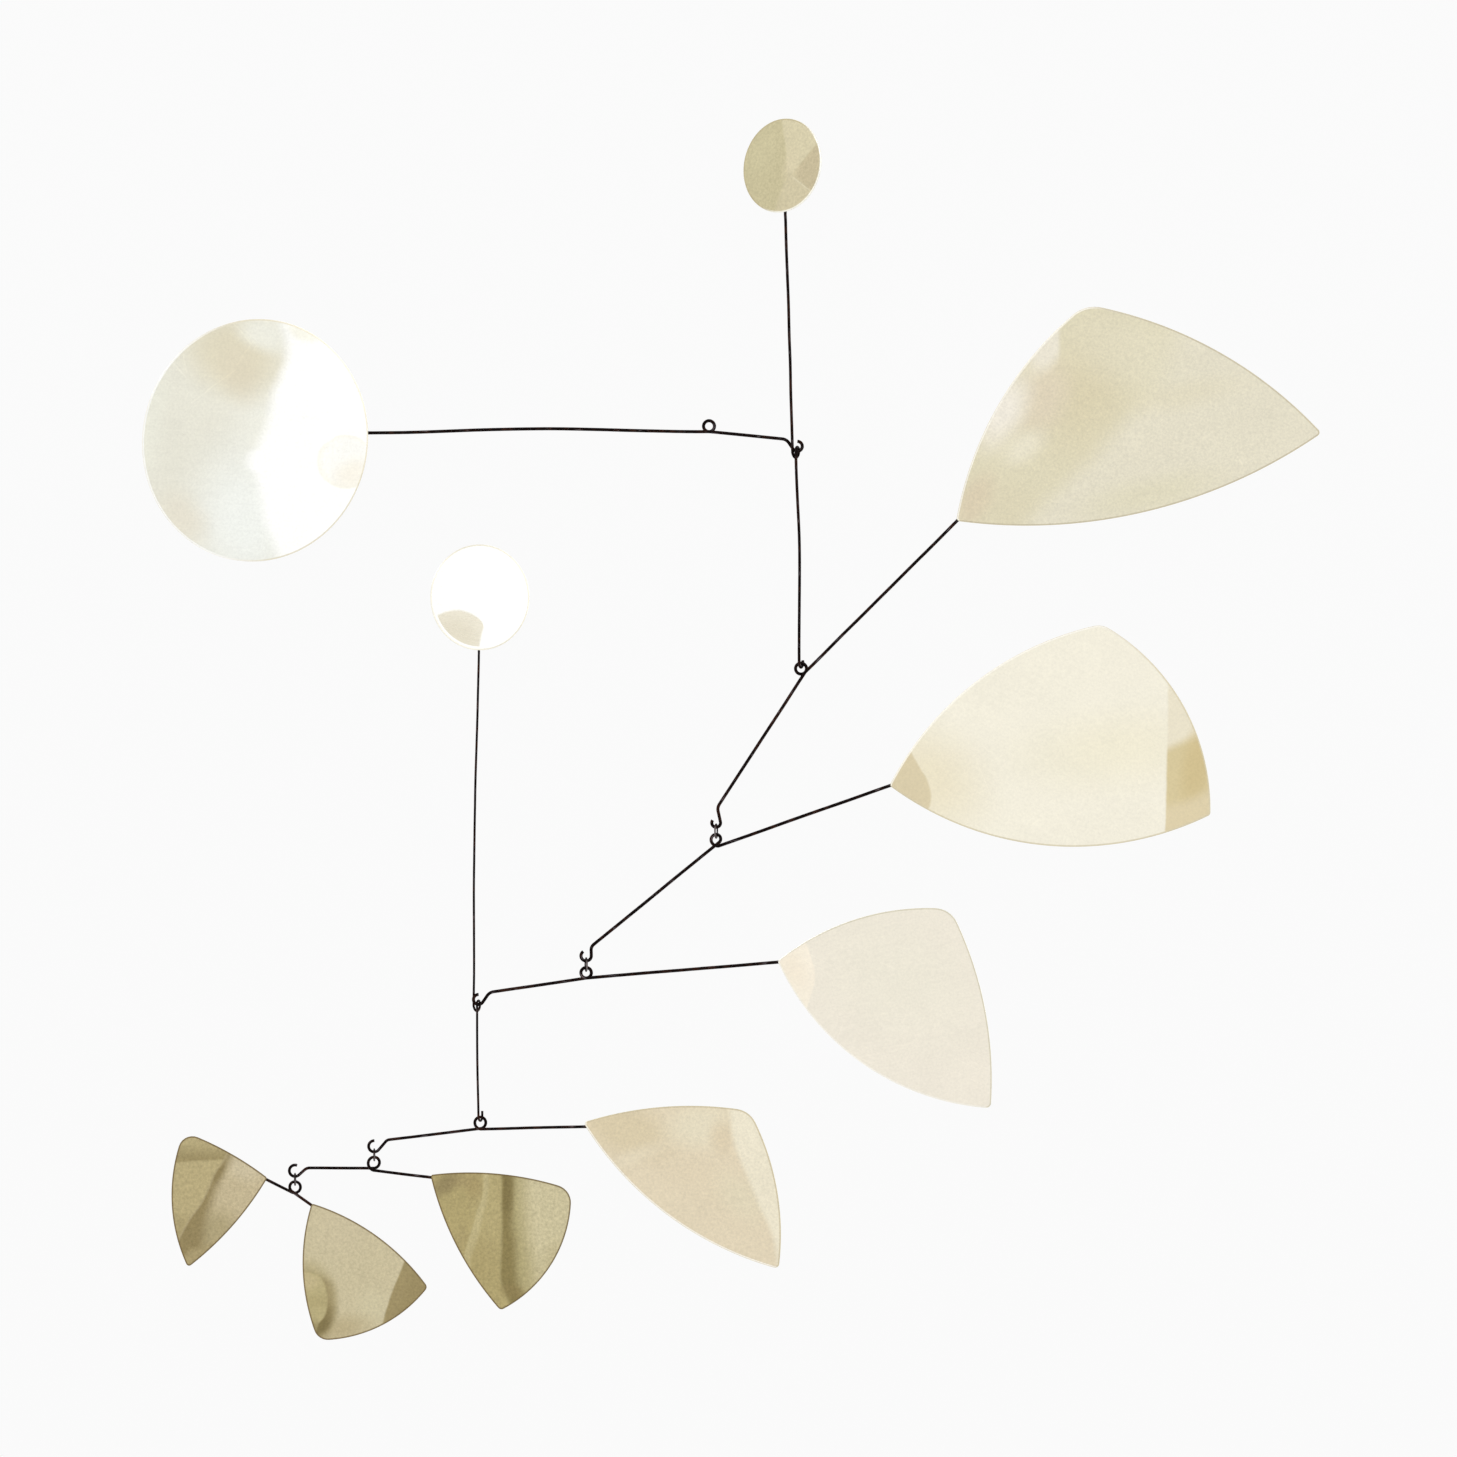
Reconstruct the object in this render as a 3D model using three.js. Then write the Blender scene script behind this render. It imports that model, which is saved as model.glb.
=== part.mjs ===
// A hanging mobile: three round and seven leaf-shaped brass plates on nine bent steel wire arms.
// Each arm hangs by its coil eye from the hook of the arm above, four of them through a jump ring.
// Lengths are millimetres. +Z is up, +X is to the right and +Y points away from the front.
// The origin is the middle of the top arm's eye, which the whole mobile hangs from.

import * as THREE from 'three';

// Wire gauges, by diameter
const HEAVY_WIRE = 2.1;
const MIDDLE_WIRE = 1.9;
const FINE_WIRE = 1.5;
const RING_WIRE = 1.1;

// Sheet brass, and the clearances between pieces
const SHEET = 0.8;
const SOLDER_GAP = 0.3;
const HOOK_TO_RING_GAP = 0.3;
const EYE_GAP = 0.7;

// An eye is one turn of wire, and its two ends lie side by side
const EYE_LEAD = 1.2; // in wire diameters, where the arm gives no lead of its own
const EYE_EASE = 1.5; // 1 climbs evenly round the eye, more keeps the eye's top flatter

// Wire that runs on behind a plate, past the point where it crosses the plate's edge
const LEAF_TAIL = 12;
const DISC_TAIL = 18;
const TAIL_BEND = 1.5;

// Arms 2 and 6 stand upright, and are bent in a plane turned this far from the front
const UPRIGHT_PLANE = 68;

// How finely the round shapes are cut
const WIRE_SIDES = 8;
const ARC_STEP = 30; // degrees of a wire's bend in one straight length
const LEG_STEPS = 6;
const RING_STEPS = 20;
const DISC_SIDES = 64;
const OUTLINE_STEPS = 8; // straight lengths in each arc of a leaf's outline

// The arms. Places are [x, z] from the middle of the arm's own eye, in the plane it is bent in.
// start and end are where the wire crosses a plate's edge. wind is 1 where the wire goes round
// anticlockwise, -1 where it goes clockwise. bows are the two legs' bulges to the left of the
// wire's run, and sways their sideways drift. A hook's tip is the direction of its cut end from
// its middle, in degrees, and neck is the bend that leads into it. lay is the side, 1 the back,
// that the wire comes to the eye on. flares widen the eye where the wire comes to it and leaves.
const ARM_1 = {
  wire: HEAVY_WIRE,
  start: [-218.9, -4.3],
  eye: { bore: 4.9, wind: 1, lay: 1 },
  bows: [2.2, 0],
  neck: { at: [46.3, -13.9], radius: 5.8 },
  hook: { at: [56.5, -12.9], bore: 4.3, wind: 1, tip: 87 },
};
const ARM_2 = {
  wire: MIDDLE_WIRE,
  plane: UPRIGHT_PLANE,
  start: [-3.4, 153.4],
  eye: { bore: 4.8, wind: 1, lay: 1 },
  bows: [0.6, 3.5],
  sways: [5.0, -2.2],
  hook: { at: [0, -134.4], bore: 4.5, wind: 1, tip: 20 },
};
const ARM_3 = {
  wire: HEAVY_WIRE,
  start: [101.7, 96.4],
  eye: { bore: 4.9, wind: -1, lay: 1 },
  neck: { at: [-47.4, -90.0], radius: 5.8 },
  hook: { at: [-54.3, -98.7], bore: 3.5, wind: -1, tip: 145 },
};
const ARM_4 = {
  wire: HEAVY_WIRE,
  start: [113.4, 34.9],
  eye: { bore: 3.7, wind: -1, lay: 1, flares: [1.9, 0] },
  neck: { at: [-75.5, -71.0], radius: 4.5 },
  hook: { at: [-83.2, -74.8], bore: 4.5, wind: -1, tip: 125 },
};
const ARM_5 = {
  wire: HEAVY_WIRE,
  start: [124.8, 7.0],
  eye: { bore: 4.6, wind: -1, lay: -1 },
  neck: { at: [-58.5, -17.9], radius: 5.8 },
  hook: { at: [-68.9, -17.1], bore: 4.3, wind: -1, tip: 90 },
};
const ARM_6 = {
  wire: FINE_WIRE,
  plane: UPRIGHT_PLANE,
  start: [-3.4, 227.5],
  eye: { bore: 5.2, wind: 1, lay: 1, lead: 1.6 },
  bows: [-3.0, -0.6],
  sways: [-3.7, -0.9],
  hook: { at: [0, -70.4], bore: 4.9, wind: 1, tip: 0, reach: 3 },
};
const ARM_7 = {
  wire: MIDDLE_WIRE,
  start: [68.9, -2.9],
  eye: { bore: 4.5, wind: -1, lay: -1, flares: [1.3, 0.9] },
  neck: { at: [-57.7, -15.0], radius: 3.8 },
  hook: { at: [-67.9, -15.5], bore: 5.3, wind: -1, tip: 90 },
};
const ARM_8 = {
  wire: MIDDLE_WIRE,
  start: [37.8, -10.0],
  eye: { bore: 4.4, wind: -1, lay: -1, flares: [2.2, 0.8] },
  neck: { at: [-41.3, -8.9], radius: 5.1 },
  hook: { at: [-50.7, -5.6], bore: 5.4, wind: -1, tip: 70 },
};
const ARM_9 = {
  wire: MIDDLE_WIRE,
  start: [-19.8, 5.5],
  eye: { bore: 4.9, wind: 1, lay: 1, flares: [0.6, 0] },
  end: [11.8, -12.6],
};

// The jump rings, by the diameter inside, and how far each has turned from edge-on
const RING_1 = { bore: 7.7, turn: -10 };
const RING_2 = { bore: 7.3, turn: 8 };
const RING_3 = { bore: 6.2, turn: 3 };
const RING_4 = { bore: 6.2, turn: 4 };

// The discs. lean tips the line that the disc is turned about, to the right of upright, and
// turn swings it about that line, its right side to the back. centre is the direction from the
// wire's crossing of the rim to the disc's middle, and tail the wire's own way behind the disc.
const DISC_1 = { radius: 77.8, lean: 11.6, turn: 23, centre: 182.6, tail: 180 };
const DISC_2 = { radius: 30.5, lean: 14.1, turn: -36.5, centre: 95, tail: 90 };
const DISC_3 = { radius: 33.9, lean: 0, turn: 21, centre: 90, tail: 90 };

// The leaves. corners are [x, z, radius] clockwise from the stem, each a circle's middle from
// the stem's, and sides are the radii of the three arcs that run from each corner to the next.
// turn swings the leaf about its wire.
const LEAF_1 = {
  corners: [[0, 0, 2.1], [86.2, 113.9, 21.3], [227.9, 54.7, 2.4]],
  sides: [223.8, 267.8, 330.9],
  turn: 3,
};
const LEAF_2 = {
  corners: [[0, -0.3, 1.9], [131.3, 88.7, 12.9], [200.3, -17.9, 2.6]],
  sides: [196.7, 134.8, 197.0],
  turn: -2,
};
const LEAF_3 = {
  corners: [[0, 0, 1.9], [98.0, 18.5, 16.1], [131.2, -90.3, 3.2]],
  sides: [152.8, 238.0, 160.3],
  turn: 2,
};
const LEAF_4 = {
  corners: [[0, 1.5, 2.0], [92.9, -4.5, 15.9], [119.7, -87.7, 2.7]],
  sides: [224.8, 165.3, 209.9],
  turn: -3,
};
const LEAF_5 = {
  corners: [[0, 0.6, 1.5], [76.5, -15.9, 11.6], [43.6, -81.6, 2.8]],
  sides: [194.2, 82.0, 199.0],
  turn: 5,
};
const LEAF_6 = {
  corners: [[0, 0, 1.7], [-48.1, -54.1, 2.0], [-45.8, 18.0, 9.1]],
  sides: [201.0, 107.3, 195.1],
  turn: -5,
};
const LEAF_7 = {
  corners: [[0, 0, 1.7], [69.4, -51.3, 3.1], [9.2, -76.2, 9.2]],
  sides: [143.1, 87.3, 127.6],
  turn: 4,
};

const UP = new THREE.Vector3(0, 0, 1);
const QUARTER = Math.PI / 2;
const FULL_TURN = 2 * Math.PI;
const radians = THREE.MathUtils.degToRad;

const steel = (name) => new THREE.MeshStandardMaterial({
  name, color: 0x2b2320, metalness: 0.85, roughness: 0.45,
});
const brass = (name, color) => new THREE.MeshStandardMaterial({
  name, color, metalness: 1, roughness: 0.3,
});

// The radius of an eye's, a hook's or a ring's centre line
const lineRadius = (loop, wire) => (loop.bore + wire) / 2;

// The direction of the straight wire that leaves one circle and meets the next
function legHeading(from, to) {
  const x = to.x - from.x;
  const z = to.z - from.z;
  const across = to.wind * to.radiusIn - from.wind * from.radiusOut;
  const along = Math.sqrt(x * x + z * z - across * across);
  return Math.atan2(z, x) - Math.atan2(across, along);
}

// How much of a flare is left at an angle from where the wire meets the circle
const flareLeft = (angle) => Math.max(0, 1 - angle / Math.PI) ** 2;

// How far the wire goes round a circle, from one heading to another
function sweepRound(circle, headingIn, headingOut) {
  const turn = THREE.MathUtils.euclideanModulo(circle.wind * (headingOut - headingIn), FULL_TURN);
  const laps = circle.isEye && turn < Math.PI ? turn + FULL_TURN : turn;
  return circle.wind * laps;
}

// The circles that an arm's wire is bent round, in order. A bare end is a circle of no radius.
function bendCircles(arm) {
  const circle = ([x, z], radius, wind) => (
    { x, z, radius, radiusIn: radius, radiusOut: radius, wind }
  );
  const eye = circle([0, 0], lineRadius(arm.eye, arm.wire), arm.eye.wind);
  eye.isEye = true;
  const [flareIn, flareOut] = arm.eye.flares ?? [0, 0];
  eye.radiusIn += flareIn;
  eye.radiusOut += flareOut;
  const circles = [circle(arm.start, 0, 0), eye];
  if (arm.neck) {
    circles.push(circle(arm.neck.at, arm.neck.radius, -arm.hook.wind));
  }
  circles.push(arm.hook
    ? circle(arm.hook.at, lineRadius(arm.hook, arm.wire), arm.hook.wind)
    : circle(arm.end, 0, 0));
  return circles;
}

// The centre line of an arm's wire: its points, the places where it crosses the plates' edges,
// with the wire's direction there, and the lowest point of the hook.
function armLine(arm) {
  const circles = bendCircles(arm);
  const last = circles.length - 1;
  const headings = [];
  for (let i = 0; i < last; i += 1) {
    headings.push(legHeading(circles[i], circles[i + 1]));
  }
  if (arm.hook) {
    headings.push(radians(arm.hook.tip) + arm.hook.wind * QUARTER);
  }

  // The eye's single turn climbs across the wire's plane, more and more away from its top
  const eye = circles[1];
  const eyeSweep = sweepRound(eye, headings[0], headings[1]);
  const eyeStart = headings[0] - eye.wind * QUARTER;
  const toTop = THREE.MathUtils.euclideanModulo(eye.wind * (QUARTER - eyeStart), FULL_TURN);
  const topShare = toTop / Math.abs(eyeSweep);
  const fullClimb = topShare ** EYE_EASE + (1 - topShare) ** EYE_EASE;
  const depthInEye = (share) => {
    const fromTop = topShare - share;
    const climb = Math.sign(fromTop) * Math.abs(fromTop) ** EYE_EASE / fullClimb;
    return arm.eye.lay * (arm.eye.lead ?? EYE_LEAD) * arm.wire * climb;
  };
  const sways = arm.sways ?? [0, 0];
  const bows = arm.bows ?? [0, 0];

  const plane = radians(arm.plane ?? 0);
  const place = (x, depth, z) => new THREE.Vector3(x, depth, z).applyAxisAngle(UP, plane);
  const along = (heading) => place(Math.cos(heading), 0, Math.sin(heading));

  const points = [];
  const startDepth = depthInEye(0) + sways[0];
  const endDepth = depthInEye(1) + sways[1];
  points.push(place(circles[0].x, startDepth, circles[0].z));
  let [fromX, fromZ] = [circles[0].x, circles[0].z];
  for (let i = 1; i <= last; i += 1) {
    const circle = circles[i];
    const heading = headings[i - 1];
    const toX = circle.x + circle.wind * circle.radiusIn * Math.sin(heading);
    const toZ = circle.z - circle.wind * circle.radiusIn * Math.cos(heading);
    const bow = bows[i - 1] ?? 0;
    const sway = i === 1 ? [startDepth, depthInEye(0)] : i === 2 ? [depthInEye(1), endDepth]
      : [endDepth, endDepth];
    if (bow !== 0 || sway[0] !== sway[1]) {
      for (let step = 1; step < LEG_STEPS; step += 1) {
        const share = step / LEG_STEPS;
        const bulge = bow * Math.sin(Math.PI * share) ** 2;
        const x = THREE.MathUtils.lerp(fromX, toX, share) - bulge * Math.sin(heading);
        const z = THREE.MathUtils.lerp(fromZ, toZ, share) + bulge * Math.cos(heading);
        points.push(place(x, THREE.MathUtils.lerp(sway[0], sway[1], share), z));
      }
    }
    if (circle.radius === 0) {
      points.push(place(circle.x, endDepth, circle.z));
      break;
    }
    const sweep = sweepRound(circle, heading, headings[i]);
    const from = heading - circle.wind * QUARTER;
    const turned = Math.abs(sweep);
    const steps = Math.ceil(turned / radians(ARC_STEP));
    const flareIn = circle.radiusIn - circle.radius;
    const flareOut = circle.radiusOut - circle.radius;
    for (let step = 0; step <= steps; step += 1) {
      const share = step / steps;
      const radius = circle.radius + flareIn * flareLeft(turned * share)
        + flareOut * flareLeft(turned * (1 - share));
      const angle = from + sweep * share;
      const depth = circle.isEye ? depthInEye(share) : endDepth;
      fromX = circle.x + radius * Math.cos(angle);
      fromZ = circle.z + radius * Math.sin(angle);
      points.push(place(fromX, depth, fromZ));
    }
  }

  const line = {
    points,
    start: { at: points[0].clone(), outward: along(headings[0]).negate() },
  };
  if (arm.hook) {
    const hook = circles[last];
    line.hookBottom = place(hook.x, endDepth, hook.z - hook.radius);
    const tipHeading = headings[last];
    const reach = arm.hook.reach ?? 0;
    if (reach > 0) {
      points.push(points.at(-1).clone().addScaledVector(along(tipHeading), reach));
    }
  } else {
    line.end = { at: points.at(-1).clone(), outward: along(headings[last - 1]) };
  }
  return line;
}

// A leg's end carries on behind its plate. Where the plate is turned out of the wire's plane,
// the wire takes a short bend at the plate's edge first.
function tailPoints(crossing, direction, length) {
  const end = crossing.at.clone().addScaledVector(direction, length);
  if (direction.distanceTo(crossing.outward) < 1e-6) {
    return [end];
  }
  return [
    end,
    crossing.at.clone().addScaledVector(direction, TAIL_BEND),
    crossing.at.clone().addScaledVector(crossing.outward, -TAIL_BEND),
  ];
}

// A line through given points that is sampled at those very points
class BentLine extends THREE.Curve {
  constructor(points) {
    super();
    this.points = points;
    this.steps = points.length - 1;
  }

  getUtoTmapping(u) {
    return u;
  }

  getPoint(t, target = new THREE.Vector3()) {
    const place = t * this.steps;
    const index = Math.min(Math.floor(place + 1e-9), this.steps - 1);
    return target.lerpVectors(this.points[index], this.points[index + 1], place - index);
  }

  // At a point where the line bends, the direction halves the bend
  getTangent(t, target = new THREE.Vector3()) {
    const index = Math.round(t * this.steps);
    const before = this.points[Math.max(index - 1, 0)];
    const here = this.points[index];
    const after = this.points[Math.min(index + 1, this.steps)];
    const arriving = here.clone().sub(before).normalize();
    const leaving = after.clone().sub(here).normalize();
    return target.copy(arriving).add(leaving).normalize();
  }
}

function roundWire(name, points, wire) {
  const section = new THREE.Shape();
  for (let side = 0; side < WIRE_SIDES; side += 1) {
    const angle = FULL_TURN * side / WIRE_SIDES;
    const [x, y] = [wire / 2 * Math.cos(angle), wire / 2 * Math.sin(angle)];
    if (side === 0) {
      section.moveTo(x, y);
    } else {
      section.lineTo(x, y);
    }
  }
  const geometry = new THREE.ExtrudeGeometry(section, {
    steps: points.length - 1,
    extrudePath: new BentLine(points),
    curveSegments: 1,
  });
  const mesh = new THREE.Mesh(geometry, steel('dark steel wire'));
  mesh.name = name;
  return mesh;
}

function jumpRing(name, ring) {
  const geometry = new THREE.TorusGeometry(
    lineRadius(ring, RING_WIRE), RING_WIRE / 2, WIRE_SIDES, RING_STEPS,
  );
  const mesh = new THREE.Mesh(geometry, steel('dark steel ring'));
  mesh.name = name;
  mesh.rotation.set(0, QUARTER, radians(ring.turn), 'ZYX');
  return mesh;
}

// A leaf's outline, clockwise: three corner circles, and three long arcs that touch them
function leafOutline({ corners, sides }) {
  const middles = corners.map(([x, z]) => new THREE.Vector2(x, z));
  const arcCentres = sides.map((radius, i) => {
    const next = (i + 1) % corners.length;
    const across = middles[next].clone().sub(middles[i]);
    const span = across.length();
    const near = radius - corners[i][2];
    const far = radius - corners[next][2];
    const along = (near * near - far * far + span * span) / (2 * span);
    const inward = Math.sqrt(near * near - along * along);
    const direction = across.divideScalar(span);
    const right = new THREE.Vector2(direction.y, -direction.x);
    return middles[i].clone().addScaledVector(direction, along).addScaledVector(right, inward);
  });

  const points = [];
  const addArc = (centre, radius, from, to) => {
    const sweep = THREE.MathUtils.euclideanModulo(from - to, FULL_TURN);
    for (let step = 0; step < OUTLINE_STEPS; step += 1) {
      const angle = from - sweep * step / OUTLINE_STEPS;
      points.push(new THREE.Vector2(
        centre.x + radius * Math.cos(angle), centre.y + radius * Math.sin(angle),
      ));
    }
  };
  corners.forEach((corner, i) => {
    const arriving = arcCentres[(i + sides.length - 1) % sides.length];
    const leaving = arcCentres[i];
    const next = middles[(i + 1) % middles.length];
    const arrivalAngle = middles[i].clone().sub(arriving).angle();
    const leavingAngle = middles[i].clone().sub(leaving).angle();
    const nextAngle = next.clone().sub(leaving).angle();
    addArc(middles[i], corner[2], arrivalAngle, leavingAngle);
    addArc(leaving, sides[i], leavingAngle, nextAngle);
  });
  return new THREE.Shape(points);
}

// A leaf stands in front of the wire's tail, and swings about the tail's own line
function leafPlate(name, leaf, crossing, wire, color) {
  const geometry = new THREE.ExtrudeGeometry(leafOutline(leaf), {
    depth: SHEET, bevelEnabled: false,
  });
  const mesh = new THREE.Mesh(geometry, brass(`${name} brass`, color));
  mesh.name = name;
  mesh.rotation.x = QUARTER;
  mesh.position.y = -(wire / 2 + SOLDER_GAP);
  const holder = new THREE.Group();
  holder.position.copy(crossing.at);
  holder.quaternion.setFromAxisAngle(crossing.outward, radians(leaf.turn));
  holder.add(mesh);
  return holder;
}

// How a disc is turned, from facing the front
function discTurn(disc) {
  const lean = radians(disc.lean);
  const line = new THREE.Vector3(Math.sin(lean), 0, Math.cos(lean));
  return new THREE.Quaternion().setFromAxisAngle(line, radians(disc.turn));
}

function discPlate(name, disc, crossing, wire, color) {
  const geometry = new THREE.CylinderGeometry(disc.radius, disc.radius, SHEET, DISC_SIDES);
  const mesh = new THREE.Mesh(geometry, brass(`${name} brass`, color));
  mesh.name = name;
  const centre = radians(disc.centre);
  mesh.position.set(
    disc.radius * Math.cos(centre),
    -(wire / 2 + SOLDER_GAP + SHEET / 2),
    disc.radius * Math.sin(centre),
  );
  const holder = new THREE.Group();
  holder.position.copy(crossing.at);
  holder.quaternion.copy(discTurn(disc));
  holder.add(mesh);
  return holder;
}

// One arm with the plates on its ends. The group's origin is the middle of the arm's eye.
function wireArm(name, arm, plates) {
  const group = new THREE.Group();
  group.name = `${name}_and_plates`;
  const line = armLine(arm);
  const route = [...line.points];
  const first = plates[0];
  if (first.disc) {
    const tail = radians(first.disc.tail);
    const direction = new THREE.Vector3(Math.cos(tail), 0, Math.sin(tail));
    direction.applyQuaternion(discTurn(first.disc));
    route.splice(0, 1, ...tailPoints(line.start, direction, DISC_TAIL));
    group.add(discPlate(first.name, first.disc, line.start, arm.wire, first.color));
  } else {
    route.splice(0, 1, ...tailPoints(line.start, line.start.outward, LEAF_TAIL));
    group.add(leafPlate(first.name, first.leaf, line.start, arm.wire, first.color));
  }
  if (line.end) {
    const second = plates[1];
    route.splice(-1, 1, ...tailPoints(line.end, line.end.outward, LEAF_TAIL));
    group.add(leafPlate(second.name, second.leaf, line.end, arm.wire, second.color));
  }
  group.add(roundWire(name, route, arm.wire));
  group.userData = { arm, hookBottom: line.hookBottom };
  return group;
}

// Hangs an arm's eye on the hook of the arm above, or on a ring that hangs on that hook
function hangFrom(upper, lower, ring) {
  const above = upper.userData;
  const below = lower.userData.arm;
  const eyeRadius = lineRadius(below.eye, below.wire);
  lower.position.copy(above.hookBottom);
  if (ring) {
    const ringRadius = lineRadius(ring.size, RING_WIRE);
    const mesh = jumpRing(ring.name, ring.size);
    mesh.position.copy(above.hookBottom);
    mesh.position.z += (above.arm.wire + RING_WIRE) / 2 + HOOK_TO_RING_GAP - ringRadius;
    upper.add(mesh);
    lower.position.z = mesh.position.z - ringRadius + (RING_WIRE + below.wire) / 2;
  } else {
    lower.position.z += (above.arm.wire + below.wire) / 2;
  }
  lower.position.z += EYE_GAP - eyeRadius;
  upper.add(lower);
}

const arm1 = wireArm('arm_1', ARM_1, [{ name: 'disc_1', disc: DISC_1, color: 0xe8e6d8 }]);
const arm2 = wireArm('arm_2', ARM_2, [{ name: 'disc_2', disc: DISC_2, color: 0xd0c8a2 }]);
const arm3 = wireArm('arm_3', ARM_3, [{ name: 'leaf_1', leaf: LEAF_1, color: 0xe4dcc3 }]);
const arm4 = wireArm('arm_4', ARM_4, [{ name: 'leaf_2', leaf: LEAF_2, color: 0xf0e9d2 }]);
const arm5 = wireArm('arm_5', ARM_5, [{ name: 'leaf_3', leaf: LEAF_3, color: 0xf3edda }]);
const arm6 = wireArm('arm_6', ARM_6, [{ name: 'disc_3', disc: DISC_3, color: 0xece6cf }]);
const arm7 = wireArm('arm_7', ARM_7, [{ name: 'leaf_4', leaf: LEAF_4, color: 0xe0d4ba }]);
const arm8 = wireArm('arm_8', ARM_8, [{ name: 'leaf_5', leaf: LEAF_5, color: 0xb9ab7c }]);
const arm9 = wireArm('arm_9', ARM_9, [
  { name: 'leaf_6', leaf: LEAF_6, color: 0xb5a878 },
  { name: 'leaf_7', leaf: LEAF_7, color: 0xc8be98 },
]);

hangFrom(arm1, arm2);
hangFrom(arm2, arm3);
hangFrom(arm3, arm4, { name: 'ring_1', size: RING_1 });
hangFrom(arm4, arm5, { name: 'ring_2', size: RING_2 });
hangFrom(arm5, arm6);
hangFrom(arm6, arm7);
hangFrom(arm7, arm8, { name: 'ring_3', size: RING_3 });
hangFrom(arm8, arm9, { name: 'ring_4', size: RING_4 });

const mobile = new THREE.Group();
mobile.add(arm1);

export default mobile;
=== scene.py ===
# A hanging mobile: brass plates on bent, darkened steel wire.
# Lengths are millimetres until a mesh or an object is made, and then metres.

import math

import bpy
import numpy as np
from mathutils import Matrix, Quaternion, Vector, noise


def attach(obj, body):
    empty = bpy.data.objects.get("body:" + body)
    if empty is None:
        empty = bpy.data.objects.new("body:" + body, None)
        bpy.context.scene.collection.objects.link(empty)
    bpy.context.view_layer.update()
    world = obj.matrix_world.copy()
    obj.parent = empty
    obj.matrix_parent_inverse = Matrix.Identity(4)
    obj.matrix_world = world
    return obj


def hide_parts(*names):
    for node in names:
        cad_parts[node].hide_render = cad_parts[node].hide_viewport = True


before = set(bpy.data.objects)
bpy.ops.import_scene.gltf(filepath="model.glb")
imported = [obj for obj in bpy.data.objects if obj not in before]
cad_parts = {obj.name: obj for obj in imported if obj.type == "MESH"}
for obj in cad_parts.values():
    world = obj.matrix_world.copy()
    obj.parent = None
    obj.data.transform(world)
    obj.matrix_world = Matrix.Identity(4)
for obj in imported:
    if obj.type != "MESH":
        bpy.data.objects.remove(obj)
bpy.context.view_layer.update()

MM = 0.001

# The photograph's frame: millimetres a pixel, and the pixel that the origin falls on
PX = 0.64
PHOTO_SIDE = 1457
ORIGIN_U = 709.0
ORIGIN_V = 425.4
CAMERA_DISTANCE = 30000
CAMERA_LIFT = 0.5
FLOOR_RADIUS = 9
FLOOR_HEIGHT = -0.95
FLOOR_SIDES = 96
FLOOR_FADE = (1.5, 6.5)
SENSOR = 36
LIGHT_TARGET = (0, 0, -0.2)

# The sizes that the source gives the wires, the sheet and the gaps
HEAVY_WIRE = 2.1
MIDDLE_WIRE = 1.9
FINE_WIRE = 1.5
RING_WIRE = 1.1
SHEET = 0.8
SOLDER_GAP = 0.3
HOOK_TO_RING_GAP = 0.3
EYE_GAP = 0.7
EYE_LEAD = 1.2
EYE_EASE = 1.5
LEAF_TAIL = 12
DISC_TAIL = 18
TAIL_BEND = 1.5
TAIL_BEND_STEPS = 4
UPRIGHT_PLANE = 68

# How finely the meshes are cut
WIRE_SIDES = 16
ARC_STEP = 7  # degrees
LEG_STEP = 3.0
RING_STEPS = 72
PLATE_RINGS = 44
OUTLINE_STEP = 2.2
EDGE_ROUND = 0.22
PLATE_MIDDLE = 30
CORNER_STEPS = 6
RING_CROWDING = 1.15
RIM_STEPS = 5
RIM_POWER = 0.7
SOLDER_ROWS = 34
SOLDER_COLUMNS = 13
SOLDER_SINK = 0.02

# How unevenly a wire runs, and its cut ends
WAVER = 0.16
WAVER_LENGTH = 26
WAVER_EASE = 14
RIPPLE = 0.02
RIPPLE_LENGTH = 7
DENT_LENGTH = 3
CUT_BEVEL = 0.12
CUT_SHARE = 0.86
CUT_DOME = 0.04

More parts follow.
